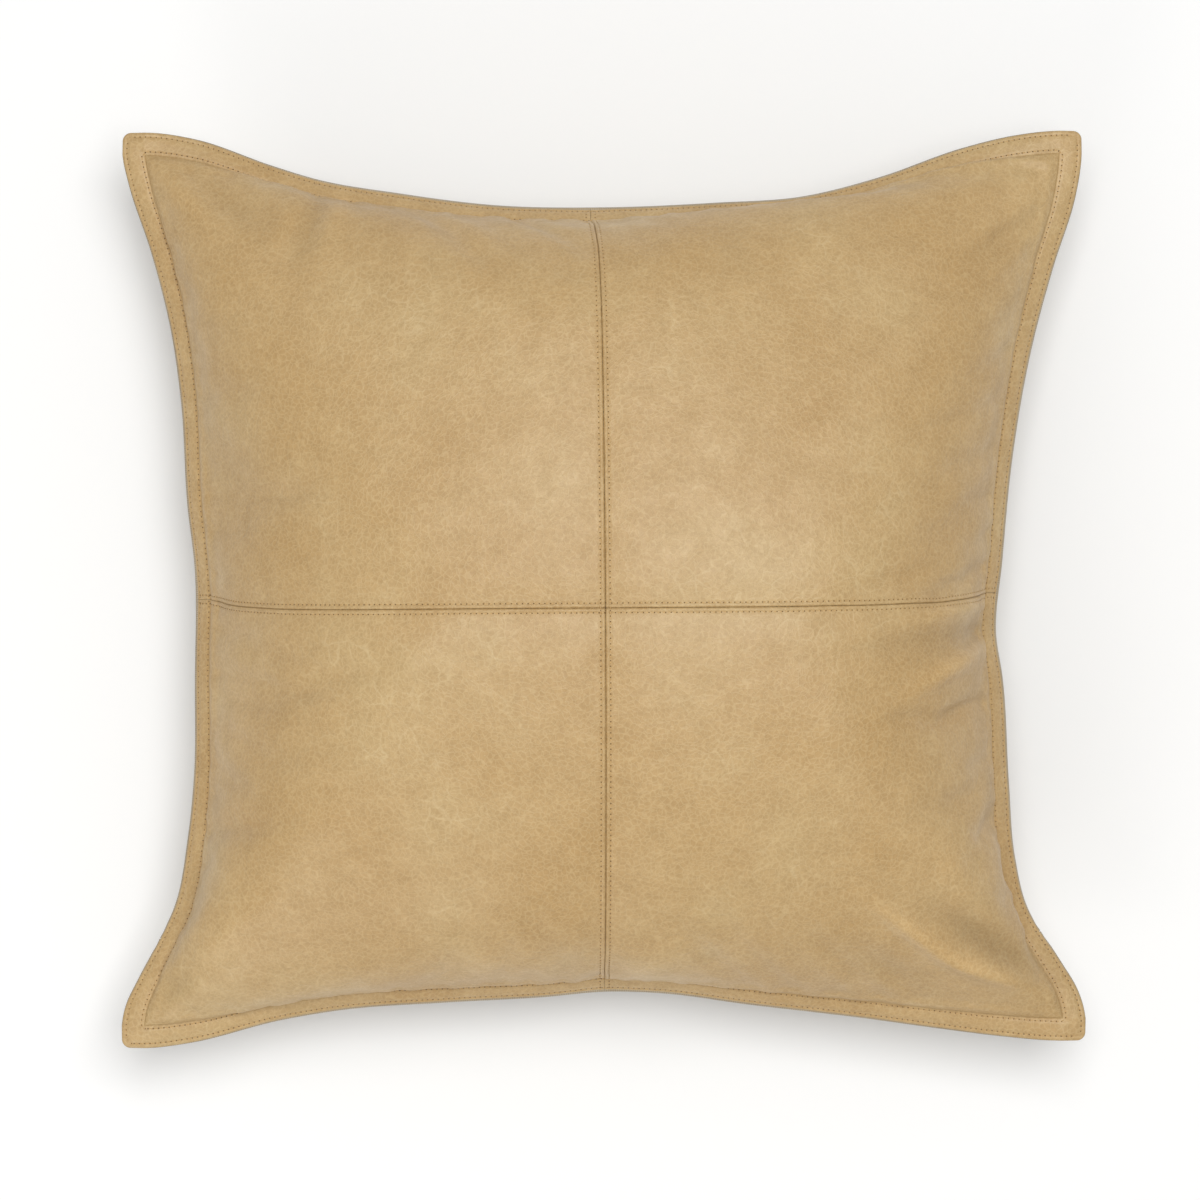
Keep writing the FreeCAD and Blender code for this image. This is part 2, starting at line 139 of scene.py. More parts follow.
# Where the crossed seams meet each side, as a share of the way along it from its first corner
SEAM_ENDS = {"top": 0.488, "right": 0.508, "bottom": 0.501, "left": 0.510}
SIDE_CORNERS = {
    "top": ("top_left", "top_right"),
    "right": ("top_right", "bottom_right"),
    "bottom": ("bottom_left", "bottom_right"),
    "left": ("top_left", "bottom_left"),
}


print("points on each side:", {side: len(points) for side, points in PULLED_IN.items()})

# %% [markdown]
# A smooth curve through those points is the cut edge, and the flange's seam lies one flange width
# inside it. A Bezier curve object could do this too, but a small function gives a point anywhere on a
# side, which the panels, the stitches and the simulation all ask for.

# %% The seam and the flange along one side
def through(points, at):
    """A smooth curve through a few points, read at the places in at."""
    xs, ys = np.array(points, float).T
    slopes = np.gradient(ys, xs)
    at = np.clip(at, xs[0], xs[-1])
    i = np.clip(np.searchsorted(xs, at, side="right") - 1, 0, len(xs) - 2)
    width = xs[i + 1] - xs[i]
    f = (at - xs[i]) / width
    rise = ys[i] * (2 * f**3 - 3 * f**2 + 1) + ys[i + 1] * (3 * f**2 - 2 * f**3)
    return rise + width * (slopes[i] * (f**3 - 2 * f**2 + f) + slopes[i + 1] * (f**3 - f**2))


def flange_roll(share):
    """The angle that the flange rolls back by, at a share of the way along its side."""
    return FLANGE_ROLL * np.sin(np.pi * np.clip(share, 0, 1)) ** ROLL_FULLNESS


def side_points(side, along):
    """Seam points, and the flange's reach out from them, where along runs from -1 to 1 on one side.

    along is 0 where a crossed seam meets the side. Sides run left to right, or bottom to top.
    """
    a, b = (np.array(CORNERS[c]) * MM for c in SIDE_CORNERS[side])
    level = side in ("top", "bottom")
    run = abs(b[0] - a[0]) if level else abs(b[1] - a[1])
    inset = FLANGE / run
    low, high, middle = inset, 1 - inset, SEAM_ENDS[side]
    if not level:
        along = -along
    share = np.where(along < 0, middle + along * (middle - low), middle + along * (high - middle))
    chord = a + (b - a) * share[..., None]
    depth = through(PULLED_IN[side], share) * MM
    out = {"top": (0, 1), "bottom": (0, -1), "left": (-1, 0), "right": (1, 0)}[side]
    edge = chord - depth[..., None] * np.array(out)
    roll = flange_roll(share)
    reach = np.zeros(share.shape + (3,))
    reach[..., :2] = np.array(out) * (FLANGE * np.cos(roll))[..., None]
    reach[..., 2] = -FLANGE * np.sin(roll)
    seam = np.zeros(share.shape + (3,))
    seam[..., :2] = edge - reach[..., :2]
    seam[..., 2] = SEAM_HEIGHT
    return seam, reach


top_middle = side_points("top", np.array([0.0]))[0][0]
print("at the top's middle the flange line is at", np.round(top_middle / MM, 1))

# %% [markdown]
# ## Filling the cover
# The cover was cut flat, 533 mm square inside the flange, and it is stuffed until it is round. Cloth
# simulation does the same: two flat-cut sheets are joined round a fixed seam, their rest lengths are
# those of the flat cut, and pressure fills them. The cloth that has nowhere to go makes the soft
# puckers beside the seam. The back is stopped by the floor, and held where the zip stiffens it.

# %% Filling the cover
CUT_HALF = 266.5 * MM
GRID = 101
CROWN = 96.0 * MM
BACK_DEPTH = 76.0 * MM
CENTRE_SHIFT = 7.2 * MM
FULLNESS = 0.9
BACK_FULLNESS = 1.25
WALL_STEEPNESS = 0.55
ZIP_BAND = 0.797
TAU = 2 * math.pi


def plan(s, t):
    """The flat seam outline filled in: where a cut point (s, t) lies when seen from above."""
    top, bottom = side_points("top", s)[0], side_points("bottom", s)[0]
    left, right = side_points("left", t)[0], side_points("right", t)[0]
    one = np.ones(1)
    tl, tr = side_points("top", -one)[0][0], side_points("top", one)[0][0]
    bl, br = side_points("bottom", -one)[0][0], side_points("bottom", one)[0][0]
    a, b = ((s + 1) / 2)[..., None], ((t + 1) / 2)[..., None]
    place = (1 - b) * bottom + b * top + (1 - a) * left + a * right
    place -= (1 - a) * (1 - b) * bl + a * (1 - b) * br + (1 - a) * b * tl + a * b * tr
    place[..., 0] += CENTRE_SHIFT * (1 - s**2) * (1 - t**2)
    return place


def dome(s):
    """How full the cover is across one way, from 1 in the middle to 0 at the seam."""
    return np.cos(np.pi / 2 * np.clip(np.abs(s), 0, 1)) ** FULLNESS


def spread(s):
    """Cut points crowd towards the seam when seen from above, because the wall there is steep."""
    return (1 - WALL_STEEPNESS) * s + WALL_STEEPNESS * np.sin(np.pi / 2 * s)


stations = np.linspace(-1, 1, GRID)
S, T = np.meshgrid(stations, stations, indexing="ij")
FROM_ABOVE = plan(S + (spread(S) - S) * (1 - T**2), T + (spread(T) - T) * (1 - S**2))
front_start = FROM_ABOVE.copy()
front_start[..., 2] += CROWN * dome(S) * dome(T)
back_start = FROM_ABOVE.copy()
back_start[..., 2] -= BACK_DEPTH * np.minimum(1.0, BACK_FULLNESS * dome(S) * dome(T))
print("front and back start as", GRID, "by", GRID, "points each")

# %% [markdown]
# The zip is a straight, stiff band, so the cut points on it are placed on the frame's own zip line.
# Its direction and middle are read from the zip's stops and the pull's hinge.

# %% The zip's band on the back
pull_swing = next(joint for joint in frame["joints"] if joint["name"] == "pull_swing")
ZIP_AXIS_ACROSS = np.array(pull_swing["axis"], float)
ZIP_OUT = np.cross([1.0, 0.0, 0.0], ZIP_AXIS_ACROSS)
tape_low, tape_high = (np.array(c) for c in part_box("zip_tape_main_side"))
strip_low, strip_high = (np.array(c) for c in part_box("zip_tape_strip_side"))
TAPE_DEPTH = 2.6 * MM
tapes_middle = (np.minimum(tape_low, strip_low) + np.maximum(tape_high, strip_high)) / 2
zip_middle = tapes_middle + ZIP_OUT * TAPE_DEPTH
ZIP_HALF = (tape_high[0] - tape_low[0]) / 2
BAND_HALF = 11.0 * MM
PAST_ZIP = 6.0 * MM
STRETCH_ALONG_ZIP = 0.955

across_band = -(T + ZIP_BAND) * CUT_HALF
along_band = S * CUT_HALF * STRETCH_ALONG_ZIP
on_band = (np.abs(across_band) < BAND_HALF) & (np.abs(along_band) < ZIP_HALF + PAST_ZIP)
band = zip_middle + across_band[..., None] * ZIP_AXIS_ACROSS
band[..., 0] = along_band
back_start[on_band] = band[on_band]
print("zip middle:", np.round(zip_middle / MM, 2), "points held:", int(on_band.sum()))

# %% [markdown]
# Now the two sheets become one closed mesh, and it starts as the flat cut, so the cloth knows how much
# leather it really has. Over the first frames the seam all round is drawn in to its filled outline and
# the zip's band to its place, while the pressure lifts the rest. Those two are pinned.

# %% The two sheets as one mesh
PRESSURE = 30.0
DRAWN_IN_BY = 14
FRAMES = 18
FLAT_LIFT = 3 * MM
LAST_ROW = GRID - 1


def quads(index):
    """The four-sided faces of a grid of point numbers, turned to face out of its front."""
    corners = [index[:-1, :-1], index[1:, :-1], index[1:, 1:], index[:-1, 1:]]
    return np.stack(corners, axis=-1).reshape(-1, 4)


def joined_sheets():
    """Index of every front and back point in one list that shares the seam, and the faces."""
    front_index = np.arange(GRID * GRID).reshape(GRID, GRID)
    back_index = front_index.copy()
    inner = np.zeros((GRID, GRID), bool)
    inner[1:LAST_ROW, 1:LAST_ROW] = True
    back_index[inner] = GRID * GRID + np.arange(inner.sum())
    faces = np.concatenate([quads(front_index), quads(back_index)[:, ::-1]])
    return front_index, back_index, inner, faces


def flat_sheet(side):
    """The flat cut, lifted a hair in its middle so that the pressure knows which way is out."""
    lift = SEAM_HEIGHT + side * FLAT_LIFT * dome(S) * dome(T)
    return np.stack([S * CUT_HALF, T * CUT_HALF, lift], axis=-1)


print("points in the two sheets:", 2 * GRID**2 - 4 * LAST_ROW)

# %% [markdown]
# A cover could be sculpted by hand instead. The simulation is chosen because it gives the soft folds
# beside the seam by itself: they are the leather that has nowhere to go.

# %% Inflating the cover with cloth
def cloth_settings(cloth):
    """Stiff along the sheet and soft in bending, as a filled cover is, and no weight."""
    cloth.settings.quality = 6
    cloth.settings.mass = 0.002
    cloth.settings.tension_stiffness = 15
    cloth.settings.compression_stiffness = 15
    cloth.settings.shear_stiffness = 5
    cloth.settings.bending_stiffness = 0.5
    cloth.settings.use_pressure = True
    cloth.settings.uniform_pressure_force = PRESSURE
    cloth.settings.vertex_group_mass = "held"
    cloth.settings.effector_weights.gravity = 0.0
    cloth.collision_settings.use_collision = False
    cloth.point_cache.frame_start = 1
    cloth.point_cache.frame_end = FRAMES


def inflate(front, back):
    """Fill the joined sheets with pressure and return both, moved."""
    front_index, back_index, inner, faces = joined_sheets()
    cut = np.concatenate([flat_sheet(1).reshape(-1, 3), flat_sheet(-1)[inner]])
    filled = np.concatenate([front.reshape(-1, 3), back[inner]])
    mesh = bpy.data.meshes.new("cover_cloth")
    mesh.from_pydata(cut.tolist(), [], faces.tolist())
    cover = bpy.data.objects.new("cover_cloth", mesh)
    bpy.context.scene.collection.objects.link(cover)
    cover.shape_key_add(name="flat_cut")
    drawn_in = cover.shape_key_add(name="drawn_in")
    drawn_in.data.foreach_set("co", filled.ravel())
    for value, frame_number in ((0.0, 1), (1.0, DRAWN_IN_BY)):
        drawn_in.value = value
        drawn_in.keyframe_insert("value", frame=frame_number)
    held = cover.vertex_groups.new(name="held")
    held.add(front_index[~inner].tolist(), 1.0, "REPLACE")
    held.add(back_index[on_band].tolist(), 1.0, "REPLACE")
    cloth_settings(cover.modifiers.new("cloth", "CLOTH"))
    for number in range(1, FRAMES + 1):
        bpy.context.scene.frame_set(number)
    shown = cover.evaluated_get(bpy.context.evaluated_depsgraph_get())
    moved = np.empty(len(cut) * 3)
    shown.data.vertices.foreach_get("co", moved)
    moved = moved.reshape(-1, 3)
    bpy.data.objects.remove(cover)
    bpy.context.scene.frame_set(1)
    return moved[front_index], moved[back_index]


front_cloth, back_cloth = front_start, back_start
front_cloth, back_cloth = inflate(front_start, back_start)
print("front reaches", round(front_cloth[..., 2].max() / MM, 1), "mm")
print("back reaches", round(back_cloth[..., 2].min() / MM, 1), "mm")

# %% [markdown]
# The filled cover lies on the floor, so the underside is pressed flat where it rests. A soft lower
# limit does that without a hard rim, and a light smoothing takes out the ripple of the simulation's own
# grid. The crossed seams sag a little towards the bottom edge, and not at all at the sides.

# %% Resting on the floor
FLOOR_PLAY = 0.6 * MM
FLOOR_SOFTNESS = 7 * MM
FLOOR_DROP = 0.02 * FLOOR_SOFTNESS


def above_floor(height):
    """The height kept above the floor, and rounded where it meets it."""
    return 0.5 * (height + np.sqrt(height**2 + FLOOR_SOFTNESS**2)) - FLOOR_DROP


def smoothed(grid, times):
    """Average with the neighbours, borders kept."""
    for _ in range(times):
        middle = grid[1:-1, 1:-1]
        around = grid[2:, 1:-1] + grid[:-2, 1:-1] + grid[1:-1, 2:] + grid[1:-1, :-2]
        grid = grid.copy()
        grid[1:-1, 1:-1] = 0.5 * middle + 0.125 * around
    return grid


SEAM_SAG = (2.0 * MM, -9.0 * MM)

front_sheet = smoothed(front_cloth, 2)
front_sheet[..., :2] += ((1 - S**4) * (1 - T**2))[..., None] * np.array(SEAM_SAG)
back_sheet = smoothed(back_cloth, 1)
back_sheet[on_band] = band[on_band]
back_sheet[~on_band, 2] = np.maximum(above_floor(back_sheet[~on_band, 2]), FLOOR_PLAY)
print("crown", round(front_sheet[..., 2].max() / MM, 1), "mm")
print("lowest point", round(back_sheet[..., 2].min() / MM, 2), "mm")

# %% [markdown]
# ## From the simulated cloth to fine leather
# The simulation's points are about 5 mm apart, which is right for soft shape but too coarse for a
# seam. A cubic curve through them gives a point anywhere on the sheet. Places are named by the flat
# cut: x and y run from the middle, and past the seam they run on across the flange.

# %% A fine surface through the coarse one
HALF_WITH_FLANGE = CUT_HALF + FLANGE


def cubic_weights(at):
    """For each cut place, how much each simulated row counts in a Catmull-Rom curve."""
    where = (np.clip(np.asarray(at, float) / CUT_HALF, -1, 1) + 1) / 2 * LAST_ROW
    i = np.clip(np.floor(where).astype(int), 0, LAST_ROW - 1)
    f = where - i
    cubic = [-0.5 * f + f**2 - 0.5 * f**3, 1 - 2.5 * f**2 + 1.5 * f**3,
             0.5 * f + 2 * f**2 - 1.5 * f**3, -0.5 * f**2 + 0.5 * f**3]
    weights = np.zeros((len(where), GRID))
    for k, share in enumerate(cubic):
        np.add.at(weights, (np.arange(len(where)), np.clip(i + k - 1, 0, LAST_ROW)), share)
    return weights


def over_flange(at):
    """How far across the flange a cut place is, from 0 at its seam to 1 or -1 at the cut edge."""
    return np.sign(at) * np.clip(np.abs(at) - CUT_HALF, 0, FLANGE) / FLANGE


TIP_ROUNDING = 0.38


def rounded_tips(a, b):
    """Shares across two flanges, with the tip of their square turned into a quarter disc."""
    start = 1 - TIP_ROUNDING
    p, q = (np.clip((share - start) / TIP_ROUNDING, 0, 1) for share in (a, b))
    a_round = np.where(a > start, start + TIP_ROUNDING * p * np.sqrt(1 - q**2 / 2), a)
    b_round = np.where(b > start, start + TIP_ROUNDING * q * np.sqrt(1 - p**2 / 2), b)
    return a_round, b_round


def plain_surface(sheet, xs, ys):
    """Positions on a sheet at every pair of cut places, flange included."""
    across_rows = np.tensordot(cubic_weights(xs), sheet, axes=(1, 0))
    place = np.tensordot(cubic_weights(ys), across_rows, axes=(1, 1)).transpose(1, 0, 2)
    fx, fy = over_flange(xs), over_flange(ys)
    s, t = np.clip(xs / CUT_HALF, -1, 1), np.clip(ys / CUT_HALF, -1, 1)
    share_x, share_y = rounded_tips(*np.meshgrid(np.abs(fx), np.abs(fy), indexing="ij"))
    for side, chosen in (("right", fx > 0), ("left", fx < 0)):
        place += (share_x * chosen[:, None])[..., None] * side_points(side, t)[1][None]
    for side, chosen in (("top", fy > 0), ("bottom", fy < 0)):
        place += (share_y * chosen[None])[..., None] * side_points(side, s)[1][:, None]
    return place


print("cut places run out to", round(HALF_WITH_FLANGE / MM, 1), "mm from the middle")

# %% [markdown]
# A seam's groove or a stitch's valley stands along the surface's own normal. The normal comes from two
# short steps across the surface, which also works where the flange folds away from the body.

# %% The surface and its normals
NORMAL_STEP = 0.9 * MM
SMALLEST_LENGTH = 1e-12


def unit(vectors):
    """Vectors scaled to length 1."""
    return vectors / np.maximum(np.linalg.norm(vectors, axis=-1, keepdims=True), SMALLEST_LENGTH)


def surface_and_normal(sheet, xs, ys, out):
    """Positions and the outward normals, out being 1 for the front and -1 for the back."""
    x0, x1, y0, y1 = (
        np.clip(at + step, -HALF_WITH_FLANGE, HALF_WITH_FLANGE)
        for at in (xs, ys) for step in (-NORMAL_STEP, NORMAL_STEP)
    )
    along_x = plain_surface(sheet, x1, ys) - plain_surface(sheet, x0, ys)
    along_y = plain_surface(sheet, xs, y1) - plain_surface(sheet, xs, y0)
    return plain_surface(sheet, xs, ys), out * unit(np.cross(along_x, along_y))


print("normals are taken over", round(2 * NORMAL_STEP / MM, 1), "mm")

# %% [markdown]
# ## What sewing does to leather
# At a seam the leather turns down into a dark groove, and the turned edge underneath lifts a lip on
# each side. A topstitch pulls a shallow valley beside it. Between the sewn lines the fill pushes the
# leather up again. Each of these is a small height, added along the surface's own normal.

# %% Grooves, lips and stitch valleys
STITCH_TO_SEAM = 2.6 * MM
FLANGE_STITCH = 1.6 * MM
STITCH_TO_EDGE = 2.6 * MM
LEATHER = 1.2 * MM
CANVAS = 0.8 * MM


def bell(distance, width):
    """A smooth bump of height 1 at distance 0."""
    return np.exp(-((distance / width) ** 2))


def seam_profile(distance):
    """The height beside a sewn seam, at a distance from it on either side."""
    d = np.abs(distance)
    groove = -0.5 * bell(d, 0.38 * MM)
    lip = 0.40 * bell(d - 1.3 * MM, 0.8 * MM)
    valley = -0.28 * bell(d - STITCH_TO_SEAM, 0.6 * MM)
    pull = -1.4 * bell(d, 11 * MM)
    return (groove + lip + valley + pull) * MM


def flange_profile(outward):
    """The height near the flange, at a distance outwards from the flange's seam."""
    fold = -1.0 * bell(outward, 1.1 * MM)
    puffed = 1.1 * bell(outward + 6 * MM, 4 * MM)
    seam_row = -0.35 * bell(outward - FLANGE_STITCH, 0.6 * MM)
    edge_row = -0.35 * bell(outward - (FLANGE - STITCH_TO_EDGE), 0.8 * MM)
    roll = 0.35 * bell(outward - 0.55 * FLANGE, 3.5 * MM)
    burnished = -0.5 * bell(outward - FLANGE, 0.7 * MM)
    return (fold + puffed + seam_row + edge_row + roll + burnished) * MM


print("a crossed seam lies", round(-seam_profile(np.zeros(1))[0] / MM, 2), "mm deep")

# %% [markdown]
# ## Soft dents and folds
# A stuffed cover is never perfectly smooth. The leather has a long soft crease towards the lower right
# corner, a dent with short tucks half way down the right side, a dimple below the top edge and small
# puckers along the seams. Each fold is a long bell of height, placed and turned one by one.

# %% Dents and folds
# Each fold: x and y of its middle, its length and width, its turn in degrees, and its height, in mm
FOLDS = [
    (174, -191, 30, 4.5, -36, 5.5),
    (211, -212, 24, 4.5, -22, 5.5),
    (214, -196, 32, 8, -31, -7.0),
    (158, -212, 30, 9, -24, -2.4),
    (193, -156, 26, 9, -52, 1.6),
    (200, -26, 20, 9, 20, -3.2),
    (190, -44, 28, 5.5, 28, 4.0),
    (194, -12, 26, 4.5, 12, 2.4),
    (168, -28, 26, 6, 8, -2.4),
    (-163, 205, 26, 8, 75, -2.6),
    (-150, 203, 22, 7, 78, 1.5),
    (-176, 204, 22, 7, 70, 1.2),
    (-240, -220, 22, 7, 56, -2.2),
    (-214, -196, 30, 9, 42, 2.0),
    (-228, -170, 24, 7, 62, -1.6),
    (238, 222, 24, 7, 46, 1.8),
    (222, 196, 26, 8, 52, -1.6),
    (-236, 222, 26, 8, -44, 2.0),
    (-208, 214, 24, 7, -30, -1.5),
    (-60, -205, 10, 16, 90, 1.3),
    (-18, -206, 10, 14, 90, -1.0),
    (34, -205, 12, 15, 92, 1.2),
    (62, -203, 10, 12, 88, -0.9),
    (-205, 60, 12, 30, 4, -1.2),
    (-206, -70, 12, 26, -4, 1.2),
    (70, 192, 16, 10, 90, -1.1),
    (118, 188, 18, 11, 84, 1.2),
    (-70, 192, 16, 9, 94, 1.0),
]


print(len(FOLDS), "hand-placed folds")

# %% [markdown]
# All of this relief is added up into one height at each point, and the point moves that far along its
# normal. Bump in a material could fake it, but real geometry also changes the shadows and the outline,
# and it stays in the mesh.

# %% The dressed surface
def fold_height(place):
    """The height of all the folds together, at positions on the front."""
    height = np.zeros(place.shape[:-1])
    for x, y, length, width, turn, rise in FOLDS:
        cosine, sine = math.cos(math.radians(turn)), math.sin(math.radians(turn))
        dx, dy = place[..., 0] / MM - x, place[..., 1] / MM - y
        lengthwise, across = dx * cosine + dy * sine, dy * cosine - dx * sine
        height += rise * MM * bell(lengthwise, length) * bell(across, width)
    return height


PUCKER_HEIGHT = 0.55 * MM
PUCKER_REACH = 9 * MM


def pucker(along):
    """Small waves that the thread pulls into the leather beside the flange's seam."""
    a = along / MM
    long_wave = np.sin(a * TAU / 23.0 + 1.7 * np.sin(a / 41.0))
    short_wave = np.sin(a * TAU / 11.3 + 2.0 * np.sin(a / 29.0))
    return PUCKER_HEIGHT * (long_wave + 0.6 * short_wave)


# Share of a seam's relief that is left on the flange, and of the flange's relief on each face
SEAM_ON_FLANGE = 0.3
FLANGE_RELIEF = {1: 1.0, -1: 0.25}
FADE = 10 * MM


def dressed_surface(sheet, xs, ys, out):
    """The finished outer surface and its normals at every pair of cut places."""
    place, normal = surface_and_normal(sheet, xs, ys, out)
    inside_x, inside_y = CUT_HALF - np.abs(xs), CUT_HALF - np.abs(ys)
    outward = -np.minimum(inside_x[:, None], inside_y[None])
    height = flange_profile(outward) * FLANGE_RELIEF[out]
    in_body = np.clip(inside_x / FADE, 0, 1)[:, None] * np.clip(inside_y / FADE, 0, 1)[None]
    beside_x, beside_y = (bell(inside - PUCKER_REACH, PUCKER_REACH) for inside in (inside_x, inside_y))
    puckers = pucker(ys)[None] * beside_x[:, None] + pucker(xs)[:, None] * beside_y[None]
    height = height + in_body * puckers
    if out > 0:
        sewn = SEAM_ON_FLANGE + (1 - SEAM_ON_FLANGE) * in_body
        height = height + sewn * (seam_profile(xs)[:, None] + seam_profile(ys)[None])
        height = height + in_body * fold_height(place)
    return place + normal * height[..., None], normal


print("share of a seam's relief on the flange:", SEAM_ON_FLANGE)

# %% [markdown]
# ## Building a panel
# A panel is a real sheet with two faces and a rim. Its rows are close together beside the seams, where
# the shape changes fast, and wider apart in the middle. Each point of the leather keeps how far a fold
# raises or sinks it: waxed leather pales where it is stretched, and the same number paints a highlight
# along the ridges of the folds and shade in their hollows.

# %% Rows of cut places, and what each point remembers
PLY_LIFT = {1: 0.3 * MM, -1: -0.3 * MM}
FINE_FOR = 3.4 * MM
ROW_GROWTH = 0.16
SAME_PLACE = 1e-9


def rows_between(start, end, fine=0.55 * MM, coarse=2.7 * MM):
    """Cut places from start to end, fine near both and near the flange's seam."""
    marks = sorted([start, end] + [m for m in (-CUT_HALF, CUT_HALF) if start < m < end])
    rows = [start]
    while rows[-1] < end - SAME_PLACE:
        here = rows[-1]
        nearest = min(abs(here - mark) for mark in marks)
        step = min(coarse, fine + ROW_GROWTH * max(0.0, nearest - FINE_FOR))
        upcoming = min(mark for mark in marks if mark > here + SAME_PLACE)
        rows.append(upcoming if here + step > upcoming - 0.3 * fine else here + step)
    return np.array(rows)


CUT_PLACE = "cut_place"


def mark_cut_places(piece, xs, ys):
    """Store each point's place on the flat cut, which the weave of a cloth follows."""
    flat = np.zeros((len(xs), len(ys), 3))
    flat[..., 0], flat[..., 1] = xs[:, None], ys[None]
    marks = piece.data.attributes.new(CUT_PLACE, "FLOAT_VECTOR", "POINT")
    marks.data.foreach_set("vector", np.concatenate([flat.reshape(-1, 3)] * 2).ravel())


# The fold height kept at each point: the leather pales with it as real pull-up, and it also paints a
# highlight on ridges and shade in hollows.
STRETCH_AND_FOLD_SHADING = "stretch_and_fold_shading"
FULL_FOLD = 6 * MM


def mark_stretch_and_fold_shading(piece, outer):
    """Store how far a fold raises or sinks each point, as a share of a full fold."""
    share = fold_height(outer).ravel() / FULL_FOLD
    marks = piece.data.attributes.new(STRETCH_AND_FOLD_SHADING, "FLOAT", "POINT")
    marks.data.foreach_set("value", np.concatenate([share, share]))


print("rows across one leather panel:", len(rows_between(0.0, HALF_WITH_FLANGE)))

# %% [markdown]
# Solidify could thicken a single sheet. Here both faces are made, so that each layer keeps its exact
# thickness, and the rim can take the finish of the hide's raw cut edge.

# %% The four leather panels
def closed_panel(name, outer, inner):
    """A mesh with outer and inner faces and a rim between them; the rim has the second material."""
    points = np.concatenate([outer.reshape(-1, 3), inner.reshape(-1, 3)])
    half = len(points) // 2
    top = np.arange(half).reshape(outer.shape[:2])
    ring = np.concatenate([top[:-1, 0], top[-1, :-1], top[:0:-1, -1], top[0, :0:-1]])
    ahead = np.roll(ring, -1)
    rim = np.stack([ring, ring + half, ahead + half, ahead], axis=-1)
    faces = np.concatenate([quads(top), quads(top + half)[:, ::-1], rim])
    mesh = bpy.data.meshes.new(name)
    mesh.from_pydata(points.tolist(), [], faces.tolist())
    mesh.polygons.foreach_set("use_smooth", [True] * len(faces))
    mesh.polygons.foreach_set("material_index", [0] * (len(faces) - len(rim)) + [1] * len(rim))
    mesh.update()
    piece = bpy.data.objects.new(name, mesh)
    bpy.context.scene.collection.objects.link(piece)
    return piece


def leather_panel(name, xs, ys):
    """One sewn panel: its outer face follows the cover, and its inner face lies a ply deeper."""
    outer, normal = dressed_surface(front_sheet, xs, ys, 1)
    outer = outer + np.array([0, 0, PLY_LIFT[1] + LEATHER])
    panel = closed_panel(name, outer, outer - normal * LEATHER)
    mark_stretch_and_fold_shading(panel, outer)
    return panel


SEAM_GAP = 0.06 * MM
left_rows = rows_between(-HALF_WITH_FLANGE, -SEAM_GAP)
right_rows = rows_between(SEAM_GAP, HALF_WITH_FLANGE)
front_panels = {}
for height_name, ys in (("bottom", left_rows), ("top", right_rows)):
    for width_name, xs in (("left", left_rows), ("right", right_rows)):
        node = f"front_panel_{height_name}_{width_name}"
        panel = leather_panel(node.replace("panel", "leather"), xs, ys)
        front_panels[node] = panel
        print(node, len(panel.data.polygons), "faces")

# %% [markdown]
# The back is canvas in two pieces, with the zip between them. Each piece is folded under beside the
# zip and leaves it a slot, which closes past the zip's ends.

# %% The canvas back
PLACKET_HALF = 6.5 * MM
PLACKET_CLOSED = 0.3 * MM
ZIP_CUT_PLACE = -ZIP_BAND * CUT_HALF
SLOT_END = 7 * MM
SLOT_PULL = 26 * MM
HEM_HEIGHT = 0.5 * MM
HEM_PLACE = 4 * MM
HEM_REACH = 5 * MM
FLOOR_GAP = 0.15 * MM


def slot_half(xs):
    """Half the slot's width along the zip."""
    closing = np.clip((np.abs(xs) * STRETCH_ALONG_ZIP - ZIP_HALF + SLOT_END) / SLOT_END, 0, 1)
    return PLACKET_HALF + (PLACKET_CLOSED - PLACKET_HALF) * (closing * closing * (3 - 2 * closing))


def canvas_panel(name, start, end, slot_side):
    """A canvas panel whose rows spread from the slot's edge out to the cut edge."""
    xs = rows_between(-HALF_WITH_FLANGE, HALF_WITH_FLANGE, 0.8 * MM, 3.2 * MM)
    ys = rows_between(start, end, 0.7 * MM, 3.2 * MM)
    outer, normal = dressed_surface(back_sheet, xs, ys, -1)
    from_zip = ys - ZIP_CUT_PLACE
    near = np.clip(1 - np.abs(from_zip - slot_side * PLACKET_CLOSED) / SLOT_PULL, 0, 1)
    shift = (slot_half(xs) - PLACKET_CLOSED)[:, None] * near[None]
    outer = outer - slot_side * shift[..., None] * ZIP_AXIS_ACROSS
    hem = HEM_HEIGHT * np.clip(1 - np.abs(np.abs(from_zip) - HEM_PLACE) / HEM_REACH, 0, 1)
    outer = outer + normal * hem[None, :, None]
    outer = outer + np.array([0, 0, PLY_LIFT[-1] - CANVAS])
    outer[..., 2] = np.maximum(outer[..., 2], FLOOR_GAP)
    inner = outer - normal * CANVAS
    panel = closed_panel(name, outer[:, ::-1], inner[:, ::-1])
    mark_cut_places(panel, xs, ys[::-1])
    return panel, outer, normal, xs, ys


main_canvas, main_outer, main_normal, main_xs, main_ys = canvas_panel(
    "back_canvas_main", ZIP_CUT_PLACE + PLACKET_CLOSED, HALF_WITH_FLANGE, 1)
strip_canvas, strip_outer, strip_normal, strip_xs, strip_ys = canvas_panel(
    "back_canvas_zip_strip", -HALF_WITH_FLANGE, ZIP_CUT_PLACE - PLACKET_CLOSED, -1)
print("canvas faces:", len(main_canvas.data.polygons), len(strip_canvas.data.polygons))

# %% [markdown]
# ## The insert
# Inside lies a separate pillow: two ticking shells sewn at their rim, filled with polyester fibre. It
# follows the cover a few millimetres in, and it stays clear of the zip.

# %% Insert shells and fill
INSERT_INSET = 4.5 * MM
INSERT_DROP_FRONT = 4.5 * MM
INSERT_DROP_BACK = 9.0 * MM
TICKING = 0.6 * MM
FILL_INSET = 1.4 * MM
SHELL_GAP = 0.1 * MM
RIM_GAP = 0.3 * MM
COVER_HALF_WIDTH = 230 * MM
COVER_RISE = 90 * MM


